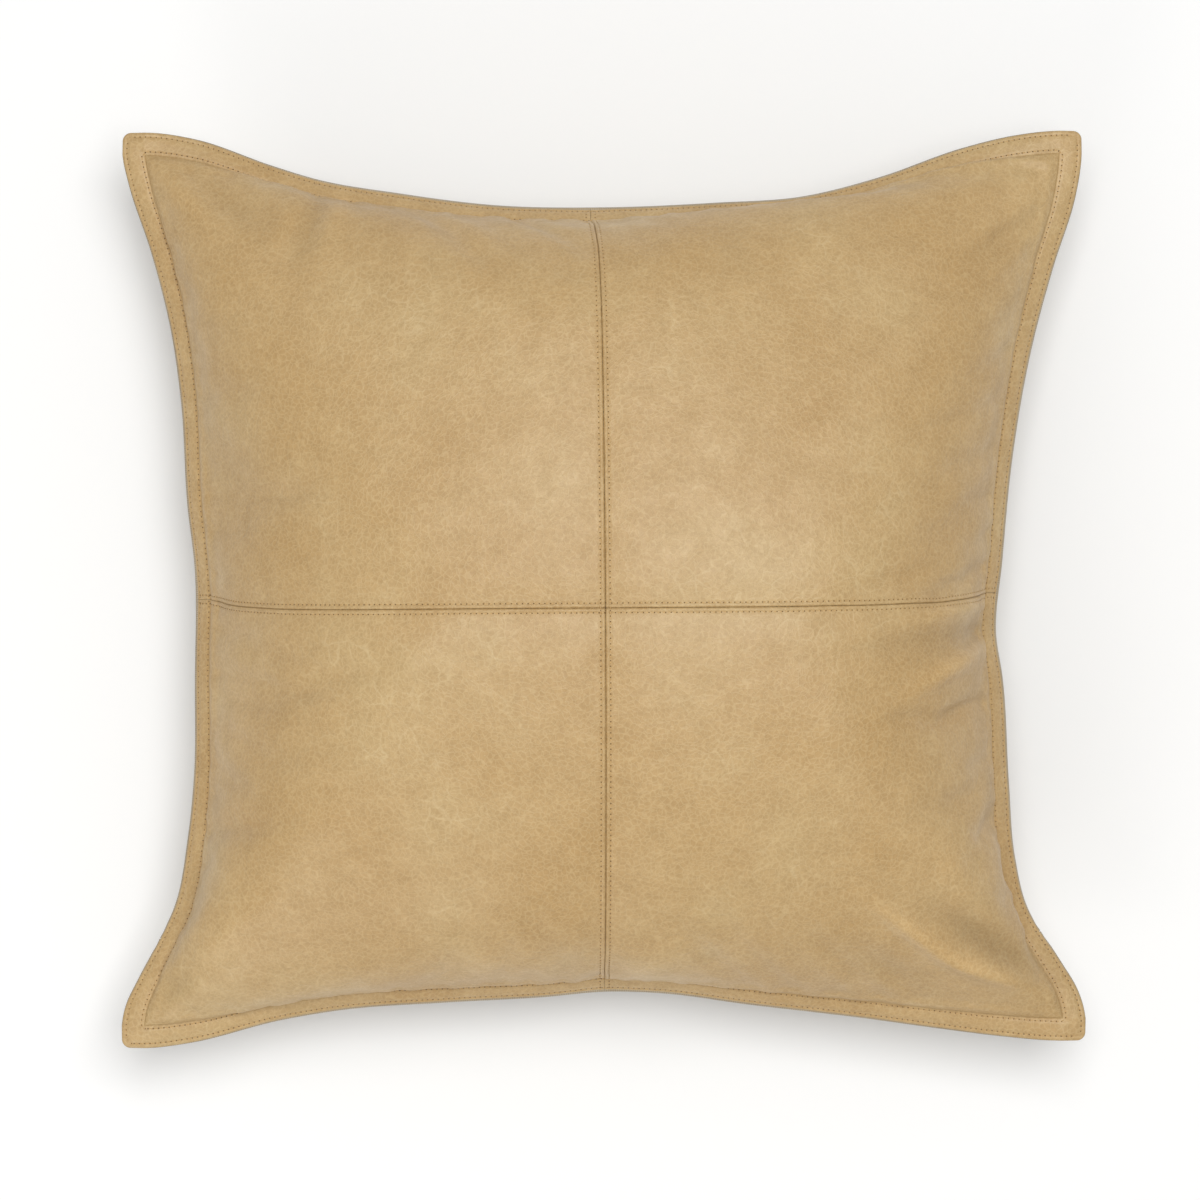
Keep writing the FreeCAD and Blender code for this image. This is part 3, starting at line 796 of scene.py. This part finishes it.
def insert_surface(sheet, out, inset, drop):
    """The cover's sheet pulled in towards the middle, and down by drop, without grooves."""
    place = plain_surface(sheet, insert_rows, insert_rows)
    place[..., :2] *= 1 - inset / COVER_HALF_WIDTH
    fullness = dome(insert_rows / CUT_HALF)
    place[..., 2] = SEAM_HEIGHT + (place[..., 2] - SEAM_HEIGHT) * (1 - drop / COVER_RISE)
    place[..., 2] += out * RIM_GAP * (1 - fullness[:, None] * fullness[None])
    if out > 0:
        place[..., 2] += np.minimum(fold_height(place), 0)
    return place


insert_rows = np.linspace(-CUT_HALF, CUT_HALF, 90)
insert_pieces = {}
fill_faces = []
for label, sheet, out, drop in (
    ("front", front_sheet, 1, INSERT_DROP_FRONT),
    ("back", back_sheet, -1, INSERT_DROP_BACK),
):
    outer = insert_surface(sheet, out, INSERT_INSET, drop)
    inner = insert_surface(sheet, out, INSERT_INSET + TICKING, drop + TICKING)
    inner[..., 2] -= out * SHELL_GAP
    if out < 0:
        outer, inner = outer[:, ::-1], inner[:, ::-1]
    insert_pieces[f"insert_ticking_{label}"] = closed_panel(f"ticking_{label}", outer, inner)
    fill_faces.append(insert_surface(sheet, out, INSERT_INSET + FILL_INSET, drop + FILL_INSET))
insert_pieces["insert_fibre_fill"] = closed_panel("fibre_fill", *fill_faces)
print("insert pieces:", list(insert_pieces))

# %% [markdown]
# ## Finishes
# Every finish is worked out from a real size. Colours are given as on screen and turned to the linear
# values that a shader wants. One small function adds a node, with its settings and its links.

# %% Helpers for finishes
def linear(hex_colour):
    """An on-screen hex colour as a linear RGBA."""
    channels = [int(hex_colour[i:i + 2], 16) / 255 for i in (1, 3, 5)]
    return (*[c / 12.92 if c <= 0.04045 else ((c + 0.055) / 1.055) ** 2.4 for c in channels], 1.0)


def add(tree, kind, links=None, **settings):
    """Add a node; links maps its inputs to other nodes' outputs, settings sets the rest."""
    node = tree.nodes.new(kind)
    for key, value in settings.items():
        if hasattr(node, key):
            setattr(node, key, value)
        else:
            node.inputs[key.replace("_", " ")].default_value = value
    for socket, source in (links or {}).items():
        tree.links.new(source, node.inputs[socket])
    return node


def new_finish(name, **shader):
    """A material with a Principled shader, and its tree, shader and object coordinates."""
    material = bpy.data.materials.new(name)
    material.use_nodes = True
    tree = material.node_tree
    principled = tree.nodes["Principled BSDF"]
    for key, value in shader.items():
        principled.inputs[key.replace("_", " ")].default_value = value
    return material, tree, principled, add(tree, "ShaderNodeTexCoord").outputs["Object"]


def per_size(millimetres):
    """The texture scale at which one cell is that many millimetres."""
    return 1000.0 / millimetres


print("white is", linear("#FFFFFF"))

# %% [markdown]
# A finish is mostly noise with a real size, turned into colours by a ramp and into relief by a bump.
# Each of these helpers keeps one such step to a single line.

# %% Ramps, mixes and bumps
def ramp(tree, source, *stops):
    """A colour ramp through (position, hex) stops."""
    node = add(tree, "ShaderNodeValToRGB", {0: source})
    elements = node.color_ramp.elements
    while len(elements) < len(stops):
        elements.new(0.5)
    for element, (position, colour) in zip(elements, stops):
        element.position = position
        element.color = linear(colour)
    return node.outputs["Color"]


def span(tree, source, from_low, from_high, to_low, to_high):
    """Map a value from one range to another."""
    node = add(tree, "ShaderNodeMapRange", {0: source})
    for index, value in enumerate((from_low, from_high, to_low, to_high), start=1):
        node.inputs[index].default_value = value
    return node.outputs[0]


def mixed(tree, share, first, second, how="MIX"):
    """Mix two colours; share may be a number or an output."""
    node = add(tree, "ShaderNodeMix", data_type="RGBA", blend_type=how)
    for socket, value in ((0, share), (6, first), (7, second)):
        if isinstance(value, bpy.types.NodeSocket):
            tree.links.new(value, node.inputs[socket])
        else:
            node.inputs[socket].default_value = value
    return node.outputs[2]


def bumped(tree, height, distance_mm, strength=1.0, under=None):
    """Raise the surface by a height that runs from 0 to 1, over another bump if one is given."""
    node = add(tree, "ShaderNodeBump", {"Height": height}, Distance=distance_mm * MM, Strength=strength)
    if under is not None:
        tree.links.new(under, node.inputs["Normal"])
    return node.outputs["Normal"]


def speckled(name, cell_mm, detail, stops, bump_mm, strength, distortion=0.0, **shader):
    """A finish with one noise that both shades it and raises it."""
    finish, tree, principled, where = new_finish(name, **shader)
    noise = add(tree, "ShaderNodeTexNoise", {"Vector": where}, Scale=per_size(cell_mm), Detail=detail,
                Distortion=distortion).outputs["Fac"]
    tree.links.new(ramp(tree, noise, *stops), principled.inputs["Base Color"])
    tree.links.new(bumped(tree, noise, bump_mm, strength), principled.inputs["Normal"])
    return finish


print("cells of 2 mm need a scale of", per_size(2))

# %% [markdown]
# ## Waxed pull-up leather
# The hide is aniline dyed and waxed, so it is never one colour. Where it is stretched the wax moves and
# the tan goes paler, and it is darker in cloudy patches. The ridges of folds also get a painted highlight,
# and their hollows painted shade. Its surface has a fine pebble of about 1.2 mm and nets of soft crease
# veins, 3 mm and 11 mm apart. The wax is a thin coat with a broad, weak sheen. Its raw cut edge is
# grey-beige, dry and fibrous.

# %% Tan leather, aniline dyed and waxed
HIDE_DARK, HIDE_TAN, HIDE_PALE = "#B99763", "#BE9E6C", "#C2A574"
HIDE_VEIN, HIDE_CREASE = "#DAC498", "#D6BE8E"


def tan_leather(name):
    leather, tree, shader, where = new_finish(name, IOR=1.45, Coat_Weight=0.22, Coat_Roughness=0.38)
    cloud = add(tree, "ShaderNodeTexNoise", {"Vector": where}, Scale=per_size(70), Detail=4.0, Roughness=0.55)
    patch = add(tree, "ShaderNodeTexNoise", {"Vector": where}, Scale=per_size(14), Detail=6.0, Roughness=0.62)
    speckle = add(tree, "ShaderNodeTexNoise", {"Vector": where}, Scale=per_size(2.2), Detail=3.0,
                  Roughness=0.6)
    bent = add(tree, "ShaderNodeVectorMath", {0: where}, operation="ADD")
    wander = add(tree, "ShaderNodeTexNoise", {"Vector": where}, Scale=per_size(16), Detail=3.0)
    shrink = add(tree, "ShaderNodeVectorMath", {0: wander.outputs["Color"]}, operation="SCALE")
    shrink.inputs["Scale"].default_value = 9 * MM
    tree.links.new(shrink.outputs[0], bent.inputs[1])
    vein = add(tree, "ShaderNodeTexVoronoi", {"Vector": bent.outputs[0]}, feature="DISTANCE_TO_EDGE",
               Scale=per_size(11))
    fine_vein = add(tree, "ShaderNodeTexVoronoi", {"Vector": bent.outputs[0]}, feature="DISTANCE_TO_EDGE",
                    Scale=per_size(2.8))
    pebble = add(tree, "ShaderNodeTexVoronoi", {"Vector": where}, feature="SMOOTH_F1", Scale=per_size(1.25))
    hide = ramp(tree, cloud.outputs["Fac"], (0.30, HIDE_DARK), (0.50, HIDE_TAN), (0.70, HIDE_PALE))
    patchy = ramp(tree, patch.outputs["Fac"], (0.34, "#EAE6DF"), (0.50, "#F5F3F0"), (0.66, "#FFFFFF"))
    colour = mixed(tree, 0.5, hide, patchy, "MULTIPLY")
    flecks = ramp(tree, speckle.outputs["Fac"], (0.35, "#D3CCC0"), (0.60, "#FFFFFF"))
    colour = mixed(tree, 0.32, colour, flecks, "MULTIPLY")
    in_vein = span(tree, vein.outputs["Distance"], 0.0, 0.07, 0.26, 0.0)
    some = span(tree, cloud.outputs["Fac"], 0.42, 0.62, 0.0, 1.0)
    broken = span(tree, wander.outputs["Fac"], 0.42, 0.58, 0.0, 1.0)
    shown = add(tree, "ShaderNodeMath", {0: in_vein, 1: broken}, operation="MULTIPLY").outputs[0]
    shown = add(tree, "ShaderNodeMath", {0: shown, 1: some}, operation="MULTIPLY").outputs[0]
    colour = mixed(tree, shown, colour, linear(HIDE_VEIN))
    crease = span(tree, fine_vein.outputs["Distance"], 0.0, 0.12, 0.28, 0.0)
    colour = mixed(tree, crease, colour, linear(HIDE_CREASE))
    # Painted light on the folds: paler on ridges, partly the wax's real pull-up and partly a painted
    # highlight, and darker in hollows as painted shade.
    stretch_and_fold_shading = add(tree, "ShaderNodeAttribute", attribute_name=STRETCH_AND_FOLD_SHADING).outputs["Fac"]
    pulled_up_and_fold_shading = span(tree, stretch_and_fold_shading, -1.0, 1.0, 0.80, 1.20)
    colour = mixed(tree, 1.0, colour, pulled_up_and_fold_shading, "MULTIPLY")
    tree.links.new(colour, shader.inputs["Base Color"])
    tree.links.new(span(tree, patch.outputs["Fac"], 0.3, 0.7, 0.62, 0.46), shader.inputs["Roughness"])
    soft = bumped(tree, patch.outputs["Fac"], 0.9, 0.35)
    veins = bumped(tree, span(tree, vein.outputs["Distance"], 0.0, 0.14, 0.0, 1.0), 0.22, 0.5, soft)
    fine = bumped(tree, span(tree, fine_vein.outputs["Distance"], 0.0, 0.16, 1.0, 0.0), 0.14, 0.6, veins)
    grain = bumped(tree, pebble.outputs["Distance"], 0.13, 0.55, fine)
    tree.links.new(grain, shader.inputs["Normal"])
    return leather


leather = tan_leather("waxed_tan_leather")
leather_edge = speckled("cut_leather_edge", 0.9, 3.0, ((0.35, "#8F8468"), (0.65, "#BDB394")), 0.2, 0.6,
                        Roughness=0.85)
print("hide colours:", HIDE_DARK, HIDE_TAN, HIDE_PALE)

# %% [markdown]
# ## Cloth finishes
# The back is a plain-woven cotton canvas, dyed a warm stone colour. Real canvas has about one thread
# each 0.6 mm; here it is drawn at 1.3 mm so that the weave still shows from a metre away. Two sets of
# waves cross at right angles, and noise makes each thread a little thicker or thinner than the next.
# The sewing thread is bonded polyester, twisted, so light and dark bands cross it.

# %% Woven cloth, for the canvas, the ticking and the zip tape
WAVES_PER_UNIT = 20.0


def woven_cloth(name, dark, light, thread_mm, bump_mm, rough, follows=None):
    """Plain weave; follows names the attribute that holds each point's place on the flat cut."""
    cloth, tree, shader, where = new_finish(name, Sheen_Weight=0.15, Sheen_Roughness=0.5)
    if follows:
        where = add(tree, "ShaderNodeAttribute", attribute_name=follows).outputs["Vector"]
    slub = add(tree, "ShaderNodeTexNoise", {"Vector": where}, Scale=per_size(6 * thread_mm), Detail=4.0)
    wobble = add(tree, "ShaderNodeVectorMath", {0: slub.outputs["Color"]}, operation="SCALE")
    wobble.inputs["Scale"].default_value = 0.35 * thread_mm * MM
    loose = add(tree, "ShaderNodeVectorMath", {0: where, 1: wobble.outputs[0]}, operation="ADD")
    threads = [
        add(tree, "ShaderNodeTexWave", {"Vector": loose.outputs[0]}, bands_direction=direction,
            Scale=per_size(thread_mm) * TAU / WAVES_PER_UNIT, Distortion=0.0).outputs["Fac"]
        for direction in ("X", "Y")
    ]
    weave = add(tree, "ShaderNodeMath", {0: threads[0], 1: threads[1]}, operation="MULTIPLY").outputs[0]
    cloud = add(tree, "ShaderNodeTexNoise", {"Vector": where}, Scale=per_size(45), Detail=5.0)
    shade = ramp(tree, weave, (0.0, dark), (0.8, light))
    faded = ramp(tree, cloud.outputs["Fac"], (0.3, "#DCD8D2"), (0.7, "#FFFFFF"))
    tree.links.new(mixed(tree, 0.7, shade, faded, "MULTIPLY"), shader.inputs["Base Color"])
    roughness = span(tree, slub.outputs["Fac"], 0.3, 0.7, rough + 0.06, rough - 0.06)
    tree.links.new(roughness, shader.inputs["Roughness"])
    slubs = bumped(tree, slub.outputs["Fac"], bump_mm, 0.4)
    tree.links.new(bumped(tree, weave, bump_mm, 0.9, slubs), shader.inputs["Normal"])
    return cloth


canvas = woven_cloth("plain_woven_cotton_canvas", "#A39277", "#CEBFA4", 1.3, 0.24, 0.86, CUT_PLACE)
ticking = woven_cloth("white_cotton_ticking", "#D9D6CE", "#F2F0EA", 0.9, 0.15, 0.88)
tape_cloth = woven_cloth("herringbone_zip_tape", "#6E5A3C", "#8A7350", 0.7, 0.15, 0.8)


def sewn_thread(name, dark, light):
    """Bonded polyester thread."""
    return speckled(name, 0.5, 2.0, ((0.35, dark), (0.65, light)), 0.08, 0.6, Roughness=0.55)


tan_thread = sewn_thread("bonded_tan_thread", "#AD8A54", "#CBA871")
# The needle hole finish is painted shadow: a dark brown bead that stands for the shade inside each hole.
needle_hole_shadow = sewn_thread("shadow_in_a_needle_hole", "#5A411E", "#7C5D30")
stone_thread = sewn_thread("bonded_stone_thread", "#857656", "#A89A78")
print("cloths and threads:", canvas.name, ticking.name, tape_cloth.name, tan_thread.name, stone_thread.name)

# %% [markdown]
# ## Brass and fibre
# The zip is brass: drawn wire for the teeth and die cast for the slider, tumbled and lacquered. Handling
# leaves fine scratches, and the recesses stay darker. The fill is siliconised polyester fibre.

# %% Brass and fibre fill
def tumbled_brass(name):
    brass, tree, shader, where = new_finish(name, Metallic=1.0)
    tarnish = add(tree, "ShaderNodeTexNoise", {"Vector": where}, Scale=per_size(3), Detail=5.0)
    scratch = add(tree, "ShaderNodeTexNoise", {"Vector": where}, Scale=per_size(0.5), Detail=2.0)
    shade = ramp(tree, tarnish.outputs["Fac"], (0.30, "#9C7A3E"), (0.55, "#CBA663"), (0.8, "#E0C283"))
    tree.links.new(shade, shader.inputs["Base Color"])
    tree.links.new(span(tree, tarnish.outputs["Fac"], 0.3, 0.7, 0.42, 0.24), shader.inputs["Roughness"])
    tree.links.new(bumped(tree, scratch.outputs["Fac"], 0.03, 0.35), shader.inputs["Normal"])
    return brass


brass = tumbled_brass("tumbled_lacquered_brass")


fibre = speckled("siliconised_polyester_fibre", 5, 8.0, ((0.3, "#DAD9D5"), (0.7, "#FBFAF6")), 1.2, 0.8,
                 distortion=2.0, Roughness=0.9, Sheen_Weight=0.3)
print("finishes:", [m.name for m in bpy.data.materials])

# %% [markdown]
# ## Putting the finishes on, and tying each piece to its body
# Each sewn piece stands for one of the frame's nodes and moves with the cover.


def finish_piece(piece, materials, node):
    """Give a piece its finishes, tie it to the cover's body, and hide the frame's node that it stands for."""
    for material in materials:
        piece.data.materials.append(material)
    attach(piece, "cover")
    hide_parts(node)


hide = (leather, leather_edge)
sewn_pieces = [(node, panel, hide, "front_leather") for node, panel in front_panels.items()]
sewn_pieces += [
    ("back_panel_main", main_canvas, (canvas, canvas), "back_canvas"),
    ("back_panel_zip_strip", strip_canvas, (canvas, canvas), "back_canvas"),
    ("insert_ticking_front", insert_pieces["insert_ticking_front"], (ticking, ticking), "ticking"),
    ("insert_ticking_back", insert_pieces["insert_ticking_back"], (ticking, ticking), "ticking"),
    ("insert_fibre_fill", insert_pieces["insert_fibre_fill"], (fibre, fibre), "fibre_fill"),
]
for node, piece, materials, slot in sewn_pieces:
    finish_piece(piece, materials, node)
print(len(sewn_pieces), "sewn pieces tied to the cover")

# %% [markdown]
# ## Stitches that follow a path
# A lockstitch is the same small loop again and again, so Geometry Nodes place it: the path is cut into
# stitches of 3 mm, and each gets a short thread lying in the valley with a dark bead of painted shadow for
# the needle hole at its end. The thread pulls tight and sinks, so on the leather the holes show more than
# the thread.

# %% A tree that sews along a path
STITCH_PITCH = 3.0 * MM
THREAD_LENGTH = 2.5 * MM
THREAD_ACROSS = 0.75 * MM
HOLE_ACROSS = 0.95 * MM
LONGER_THAN_ANY_ROW = 100.0


def path_tree(name, **sizes):
    """A Geometry Nodes tree that takes a path and named sizes; also its inputs, and the path as a curve."""
    tree = bpy.data.node_groups.new(name, "GeometryNodeTree")
    tree.interface.new_socket("Geometry", in_out="INPUT", socket_type="NodeSocketGeometry")
    for label, value in sizes.items():
        label = label.replace("_", " ")
        socket = tree.interface.new_socket(label, in_out="INPUT", socket_type="NodeSocketFloat")
        socket.default_value = value
    tree.interface.new_socket("Geometry", in_out="OUTPUT", socket_type="NodeSocketGeometry")
    given = add(tree, "NodeGroupInput").outputs
    return tree, given, add(tree, "GeometryNodeMeshToCurve", {"Mesh": given["Geometry"]}).outputs["Curve"]


def repeated(tree, curve, pitch, shape, material, **links):
    """The shape at each pitch along the curve, made real, in one material."""
    spaced = add(tree, "GeometryNodeCurveToPoints", {"Curve": curve, "Length": pitch}, mode="LENGTH")
    links = {"Rotation": spaced.outputs["Rotation"]} | links
    links |= {"Points": spaced.outputs["Points"], "Instance": shape}
    placed = add(tree, "GeometryNodeInstanceOnPoints", links)
    real = add(tree, "GeometryNodeRealizeInstances", {0: placed.outputs[0]})
    coloured = add(tree, "GeometryNodeSetMaterial", {"Geometry": real.outputs[0]})
    coloured.inputs["Material"].default_value = material
    return coloured.outputs[0]


print("a stitch every", round(STITCH_PITCH / MM, 1), "mm")

# %% [markdown]
# Each row gets two shapes at the same pitch: a length of thread, and half a pitch further on a needle
# hole, drawn as a dark bead of painted shadow. They could be copied one by one, but a tree follows the
# path by itself if the seam moves.

# %% The sewing trees for leather and for canvas
def sewing_tree(name, thread, hole):
    """Path in, stitches and needle holes out."""
    tree, given, path = path_tree(name, Pitch=STITCH_PITCH, Thread_length=THREAD_LENGTH,
                                  Thread_across=THREAD_ACROSS, Hole_across=HOLE_ACROSS)
    half = add(tree, "ShaderNodeMath", {0: given["Pitch"]}, operation="MULTIPLY")
    half.inputs[1].default_value = 0.5
    shifted = add(tree, "GeometryNodeTrimCurve", {"Curve": path}, mode="LENGTH")
    tree.links.new(half.outputs[0], shifted.inputs[4])
    shifted.inputs[5].default_value = LONGER_THAN_ANY_ROW
    joined = add(tree, "GeometryNodeJoinGeometry")
    for curve, across, length, material, segments in (
        (path, "Thread across", "Thread length", thread, 8),
        (shifted.outputs[0], "Hole across", "Hole across", hole, 6),
    ):
        ball = add(tree, "GeometryNodeMeshUVSphere", Segments=segments, Rings=5, Radius=0.5)
        smooth = add(tree, "GeometryNodeSetShadeSmooth", {"Geometry": ball.outputs[0]})
        size = add(tree, "ShaderNodeCombineXYZ", {0: given[across], 1: given[across], 2: given[length]})
        row = repeated(tree, curve, given["Pitch"], smooth.outputs[0], material, Scale=size.outputs[0])
        tree.links.new(row, joined.inputs[0])
    tree.links.new(joined.outputs[0], add(tree, "NodeGroupOutput").inputs[0])
    return tree


leather_sewing = sewing_tree("topstitch_on_leather", tan_thread, needle_hole_shadow)
canvas_sewing = sewing_tree("topstitch_on_canvas", stone_thread, needle_hole_shadow)


print("trees:", leather_sewing.name, canvas_sewing.name)

# %% [markdown]
# A modifier runs a tree on a path made of edges. The result is kept as a plain mesh, so that each row
# is an ordinary piece that can ride on the cover.

# %% From a path to a mesh of stitches
def socket_id(tree, label):
    """The name that a modifier knows an input by."""
    sockets = [item for item in tree.interface.items_tree if item.in_out == "INPUT"]
    return next(socket.identifier for socket in sockets if socket.name == label)


def path_object(name, rows, closed):
    """Polylines as one mesh of edges."""
    points, edges = [], []
    for row in rows:
        first = len(points)
        points += row.tolist()
        edges += [(k, k + 1) for k in range(first, len(points) - 1)]
        if closed:
            edges.append((len(points) - 1, first))
    mesh = bpy.data.meshes.new(name)
    mesh.from_pydata(points, edges, [])
    holder = bpy.data.objects.new(name, mesh)
    bpy.context.scene.collection.objects.link(holder)
    return holder


def nodes_to_mesh(holder, tree, name, **inputs):
    """Run a Geometry Nodes tree on an object and keep the result as a plain mesh object."""
    modifier = holder.modifiers.new("made_by_nodes", "NODES")
    modifier.node_group = tree
    for label, value in inputs.items():
        modifier[socket_id(tree, label.replace("_", " "))] = value
    shown = holder.evaluated_get(bpy.context.evaluated_depsgraph_get())
    mesh = bpy.data.meshes.new_from_object(shown)
    bpy.data.objects.remove(holder)
    piece = bpy.data.objects.new(name, mesh)
    bpy.context.scene.collection.objects.link(piece)
    return piece


def sew(node, rows, tree, closed=False):
    """Sew along the rows, and tie the stitches to the cover as the thread that they stand for."""
    path = path_object(node + "_path", rows, closed)
    stitches = nodes_to_mesh(path, tree, node.replace("thread", "stitches"))
    finish_piece(stitches, (), node)


print("the pitch is set through", socket_id(leather_sewing, "Pitch"))

# %% [markdown]
# The rows to sew: two along each crossed seam, one that closes the cover just outside the flange's
# seam, one beside the cut edge, and one on each side of the zip. A row is read off the finished surface,
# so it lies in its own valley. On the front the thread lies just below the skin, and shows through it.

# %% Where the rows of stitches run
THREAD_SUNK = 0.12 * MM
ROW_STEP = 2.0 * MM
LOWEST_STITCH = 0.5 * MM
ROW_START = 1.5 * MM
ROW_END = 1.0 * MM


def lie_on(sheet, xs, ys, out, thickness):
    """Points on the finished outer surface, sunk by a little."""
    place, normal = dressed_surface(sheet, np.atleast_1d(xs), np.atleast_1d(ys), out)
    lifted = place + np.array([0, 0, PLY_LIFT[out] + out * thickness]) - normal * THREAD_SUNK
    lifted[..., 2] = np.maximum(lifted[..., 2], LOWEST_STITCH)
    return lifted.reshape(-1, 3)


def ring_at(sheet, distance, out, thickness, corner=3.0 * MM):
    """A closed row all round, at a distance from the middle of the flat cut."""
    run = np.arange(-distance + corner, distance - corner, ROW_STEP)
    corners = ((run, -distance), (distance, run), (run[::-1], distance), (-distance, run[::-1]))
    return np.concatenate([lie_on(sheet, xs, ys, out, thickness) for xs, ys in corners])


seam_run = np.arange(-HALF_WITH_FLANGE + ROW_START, HALF_WITH_FLANGE - ROW_END, ROW_STEP)
beside_seam = (-STITCH_TO_SEAM, STITCH_TO_SEAM)
upright_rows = [lie_on(front_sheet, x, seam_run, 1, LEATHER) for x in beside_seam]
level_rows = [lie_on(front_sheet, seam_run, y, 1, LEATHER) for y in beside_seam]
sew("thread_upright_seam", upright_rows, leather_sewing)
sew("thread_level_seam", level_rows, leather_sewing)
FLANGE_ROWS = {"seam": CUT_HALF + FLANGE_STITCH, "edge": HALF_WITH_FLANGE - STITCH_TO_EDGE}
for row_name, distance in FLANGE_ROWS.items():
    for face, sheet, out, thickness, tree in (
        ("front", front_sheet, 1, LEATHER, leather_sewing),
        ("back", back_sheet, -1, CANVAS, canvas_sewing),
    ):
        ring = ring_at(sheet, distance, out, thickness)
        sew(f"thread_flange_{row_name}_{face}", [ring], tree, closed=True)
print("flange rows at", {name: round(row / MM, 1) for name, row in FLANGE_ROWS.items()}, "mm from the middle")

# %% [markdown]
# Beside the zip the rows are read off the canvas panels themselves, because each panel is pulled back
# there to leave the slot. The zip's own tapes are caught by these rows.

# %% Stitches beside the zip
ZIP_STITCH = 2.6 * MM
ZIP_ROW_REACH = 186 * MM


def zip_row(outer, normal, xs, ys, slot_side):
    """The row that sews a canvas panel to its tape, a little way in from the slot's edge."""
    target = ZIP_CUT_PLACE + slot_side * (PLACKET_CLOSED + ZIP_STITCH)
    k = int(np.argmin(np.abs(ys - target)))
    chosen = np.abs(xs) < ZIP_ROW_REACH / STRETCH_ALONG_ZIP
    return outer[chosen, k] - normal[chosen, k] * THREAD_SUNK * 0.5


sew("thread_zip_main", [zip_row(main_outer, main_normal, main_xs, main_ys, 1)], canvas_sewing)
sew("thread_zip_strip", [zip_row(strip_outer, strip_normal, strip_xs, strip_ys, -1)], canvas_sewing)
print("zip rows sewn")

# %% [markdown]
# ## The zip
# Each tooth is a small brass clamp with a rounded head. The teeth of one tape sit half a pitch from
# those of the other, so they mesh. Geometry Nodes put the same tooth at each place along the tape.

# %% Zip teeth by Geometry Nodes
TOOTH_PITCH = 2.8 * MM
TOOTH_SIZE = (1.15 * MM, 2.6 * MM, 2.2 * MM)
TOOTH_MIDDLE = 1.75 * MM
STOP_LENGTH = 3.0 * MM
TAPE_END = 6.0 * MM
TOOTH_CREASE = 0.62


def tooth_tree(name):
    """Teeth set along a line: a rounded block at each point, turned with the zip."""
    tree, given, path = path_tree(name, Pitch=TOOTH_PITCH, Lean=0.0)
    block = add(tree, "GeometryNodeMeshCube", Size=TOOTH_SIZE)
    block.inputs["Vertices X"].default_value = 2
    rounded = add(tree, "GeometryNodeSubdivisionSurface", {"Mesh": block.outputs[0]}, Level=2)
    rounded.inputs["Edge Crease"].default_value = TOOTH_CREASE
    turn = add(tree, "ShaderNodeCombineXYZ", {0: given["Lean"]})
    teeth = repeated(tree, path, given["Pitch"], rounded.outputs[0], brass, Rotation=turn.outputs[0])
    tree.links.new(teeth, add(tree, "NodeGroupOutput").inputs[0])
    return tree


teeth_tree = tooth_tree("brass_teeth")
ZIP_LEAN = math.atan2(ZIP_AXIS_ACROSS[2], ZIP_AXIS_ACROSS[1])
chain_middle = zip_middle - ZIP_OUT * TAPE_DEPTH
chain_end = ZIP_HALF - TAPE_END - STOP_LENGTH - TOOTH_PITCH
for side_name, side in (("main_side", -1), ("strip_side", 1)):
    shift = np.array([0.0 if side < 0 else TOOTH_PITCH / 2, 0, 0])
    middle = chain_middle + side * TOOTH_MIDDLE * ZIP_AXIS_ACROSS + shift
    ends = [middle + np.array([x, 0, 0]) for x in (-chain_end, chain_end - TOOTH_PITCH)]
    line = path_object("teeth_line_" + side_name, [np.array(ends)], False)
    teeth = nodes_to_mesh(line, teeth_tree, "brass_teeth_" + side_name, Lean=float(ZIP_LEAN))
    finish_piece(teeth, (), "zip_teeth_" + side_name)
    print(teeth.name, len(teeth.data.polygons), "faces")

# %% [markdown]
# The tapes, stops, slider and pull keep the frame's own shapes, which already fit and move. They only
# get their finishes.

# %% Finishes on the zip's own parts
ZIP_FINISHES = {
    "zip_tape_main_side": tape_cloth,
    "zip_tape_strip_side": tape_cloth,
    "zip_top_stops": brass,
    "zip_bottom_stop": brass,
    "zip_slider_body": brass,
    "zip_pull_tab": brass,
}
for node, finish in ZIP_FINISHES.items():
    frame["nodes"][node].data.materials.clear()
    frame["nodes"][node].data.materials.append(finish)
print("zip finished")

# %% [markdown]
# ## The floor
# The pillow lies on white studio paper. A curved backdrop would hide the horizon as well, but from
# above a flat sheet is enough, and it keeps the soft contact shadow that shows what the pillow rests on.

# %% A pale floor
FLOOR_HALF = 4.0
BELOW_PILLOW = 0.2 * MM
turns = ((-1, -1), (1, -1), (1, 1), (-1, 1))
floor_corners = [(x * FLOOR_HALF, y * FLOOR_HALF, -BELOW_PILLOW) for x, y in turns]
floor_mesh = bpy.data.meshes.new("studio_floor")
floor_mesh.from_pydata(floor_corners, [], [(0, 1, 2, 3)])
floor = bpy.data.objects.new("studio_floor", floor_mesh)
bpy.context.scene.collection.objects.link(floor)
paper, paper_tree, paper_shader, paper_where = new_finish("matte_white_paper", Roughness=0.9)
paper_shader.inputs["Base Color"].default_value = linear("#F7F7F6")
floor_mesh.materials.append(paper)
